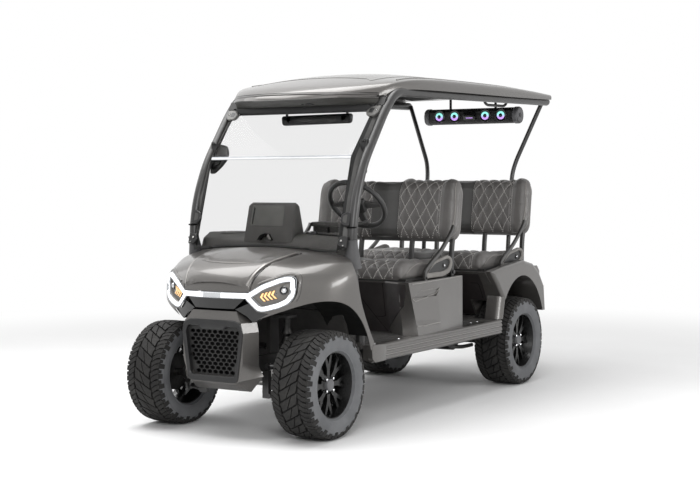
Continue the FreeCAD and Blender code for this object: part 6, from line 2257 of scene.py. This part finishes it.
def make_dash_body():
    """The dashboard with its ends drawn in behind the pillars."""
    skin = Skin("dashboard")
    rows = []
    for index in range(51):
        x = 0.498 * (index / 25 - 1)
        drawn = 0.130 * ease(abs(x), 0.37, 0.498)
        front = -0.9035
        rear = -0.6430 - drawn
        row = [at(x, front + 0.012, 0.830), at(x, front, 0.900)]
        tops = []
        for part in range(17):
            y = front + 0.001 + (rear - front - 0.012) * part / 16
            spot, _ = skin.hit(at(x, y, 3.0), (0, 0, -1), 1.95)
            tops.append(at(x, y, spot.z))
        row += tops
        row += [at(x, rear - 0.003, tops[-1].z - 0.006), at(x, rear, tops[-1].z - 0.020)]
        row += [at(x, rear, 0.930), at(x, rear - 0.010, 0.880), at(x, rear - 0.030, 0.830)]
        rows.append(row)
    form = Form().add(capped(rows), "dash")
    form.make("dash_skin", "chassis", "black_plastic", ["dashboard"], sharp=40)


def make_display():
    """The housing on the dash, which leans back and has rounded shoulders."""
    left, right = -0.204, 0.133
    tall = 0.2235
    rings = []
    steps = [0.0, 0.03, 0.10, 0.25, 0.5, 0.75, 0.90, 0.955, 0.985, 1.0]
    for share in steps:
        front = -0.890 + 0.060 * share
        back = -0.735 - 0.062 * share
        pinch = 0.016 * ease(share, 0.90, 1.0) ** 2
        corners = [(left, front), (right, front), (right - 0.004, back), (left + 0.004, back)]
        ring = rounded(inset([Vector(corner) for corner in corners], pinch), 0.014, 4)
        rings.append([at(p.x, p.y, DASH_TOP + tall * share) for p in ring])
    form = Form().add(capped(rings), "dash")
    form.make("display_housing", "chassis", "black_plastic", ["display_pod"], sharp=50)


def make_roof_lining():
    """The dark lining that follows the roof's underside."""
    rows = []
    for index in range(41):
        y = -0.540 + 2.140 * index / 40
        row = []
        for part in range(25):
            x = 0.505 * (part / 12 - 1)
            spot, _, _, _ = ROOF.tree.ray_cast(at(x, y, 1.2), Vector((0, 0, 1)))
            if spot is None:
                spot = at(x, y, 1.90)
            row.append(spot + Vector((0, 0, -0.003)))
        rows.append(row)
    form = Form().add(plate(rows, (0, 0, 1), 0.0015), "liner")
    form.make("roof_lining", "chassis", "black_plastic", sharp=50)


make_liners()
make_fender_legs()
make_dash_body()
make_display()
make_roof_lining()
make_pod_panels()
make_pod_lips()
make_guards()
make_hip_bars()
make_roof_front()
make_roof_panel()
make_windshield_trim()
make_clips()
make_mirror()
make_dash()
make_pillar_feet()
make_sound_bar()
make_steering_wheel()
make_sills()
make_underbody()


# Floor and light


FLOOR_HALF = 40.0
FADE_START = 2.6
FADE_END = 6.5
AMBIENT = 0.36
LAMP_AIM = Vector((0, 0, 0.8))
LAMPS = (
    ("lamp_top", (-0.8, -0.8, 5.0), (3.6, 5.0), 300),
    ("lamp_front", (3.4, -5.6, 3.2), (1.6, 2.6), 120),
    ("lamp_side", (5.4, 0.6, 2.2), (3.2, 0.8), 90),
    ("lamp_far", (-5.0, -1.2, 3.6), (2.6, 2.6), 32),
)


def make_floor():
    """A pale floor that fades to white."""
    mesh = bpy.data.meshes.new("floor")
    corners = [(-1, -1, 0), (1, -1, 0), (1, 1, 0), (-1, 1, 0)]
    mesh.from_pydata([Vector(corner) * FLOOR_HALF for corner in corners], [], [(0, 1, 2, 3)])
    floor = bpy.data.objects.new("floor", mesh)
    bpy.context.scene.collection.objects.link(floor)
    shader = Shader("floor").set(Roughness=0.6, Specular_IOR_Level=0.2)
    shader.vary(shader.noise(1.3), "Fac", 0.3, 0.7, srgb(244, 244, 244), srgb(248, 248, 248))
    shown = shader.add("ShaderNodeEmission")
    distance = shader.add("ShaderNodeVectorMath", operation="LENGTH")
    shader.join(shader.place, "Object", distance, 0)
    fade = shader.add("ShaderNodeMapRange", interpolation_type="SMOOTHSTEP")
    fade.inputs["From Min"].default_value = FADE_START
    fade.inputs["From Max"].default_value = FADE_END
    shader.join(distance, "Value", fade, "Value")
    mix = shader.add("ShaderNodeMixShader")
    shader.join(fade, "Result", mix, 0)
    shader.join(shader.main, "BSDF", mix, 1)
    shader.join(shown, "Emission", mix, 2)
    shader.join(mix, "Shader", shader.output, "Surface")
    mesh.materials.append(shader.material)


def make_world():
    """White where it is seen, directly, through glass or in a mirror, and a softer light elsewhere."""
    world = bpy.data.worlds.new("studio")
    bpy.context.scene.world = world
    world.use_nodes = True
    tree = world.node_tree
    tree.nodes.clear()
    path = tree.nodes.new("ShaderNodeLightPath")
    seen = path.outputs["Is Camera Ray"]
    for ray in ("Is Transmission Ray", "Is Glossy Ray"):
        either = tree.nodes.new("ShaderNodeMath")
        either.operation = "MAXIMUM"
        tree.links.new(seen, either.inputs[0])
        tree.links.new(path.outputs[ray], either.inputs[1])
        seen = either.outputs[0]
    blend = tree.nodes.new("ShaderNodeMixShader")
    tree.links.new(seen, blend.inputs[0])
    for number, strength in enumerate((AMBIENT, 1.0), 1):
        background = tree.nodes.new("ShaderNodeBackground")
        background.inputs["Color"].default_value = (1.0, 1.0, 1.0, 1.0)
        background.inputs["Strength"].default_value = strength
        tree.links.new(background.outputs[0], blend.inputs[number])
    output = tree.nodes.new("ShaderNodeOutputWorld")
    tree.links.new(blend.outputs[0], output.inputs["Surface"])


def make_lamps():
    """Soft lamps round the cart."""
    for name, place, size, power in LAMPS:
        data = bpy.data.lights.new(name, "AREA")
        data.shape = "RECTANGLE"
        data.size = size[0]
        data.size_y = size[1]
        data.energy = power
        lamp = bpy.data.objects.new(name, data)
        bpy.context.scene.collection.objects.link(lamp)
        lamp.location = place
        lamp.rotation_euler = (LAMP_AIM - Vector(place)).to_track_quat("-Z", "Y").to_euler()


def make_stage():
    """The floor, the surroundings and the lamps."""
    make_floor()
    make_world()
    make_lamps()


make_camera()
make_stage()
bpy.context.scene.view_settings.view_transform = "Standard"
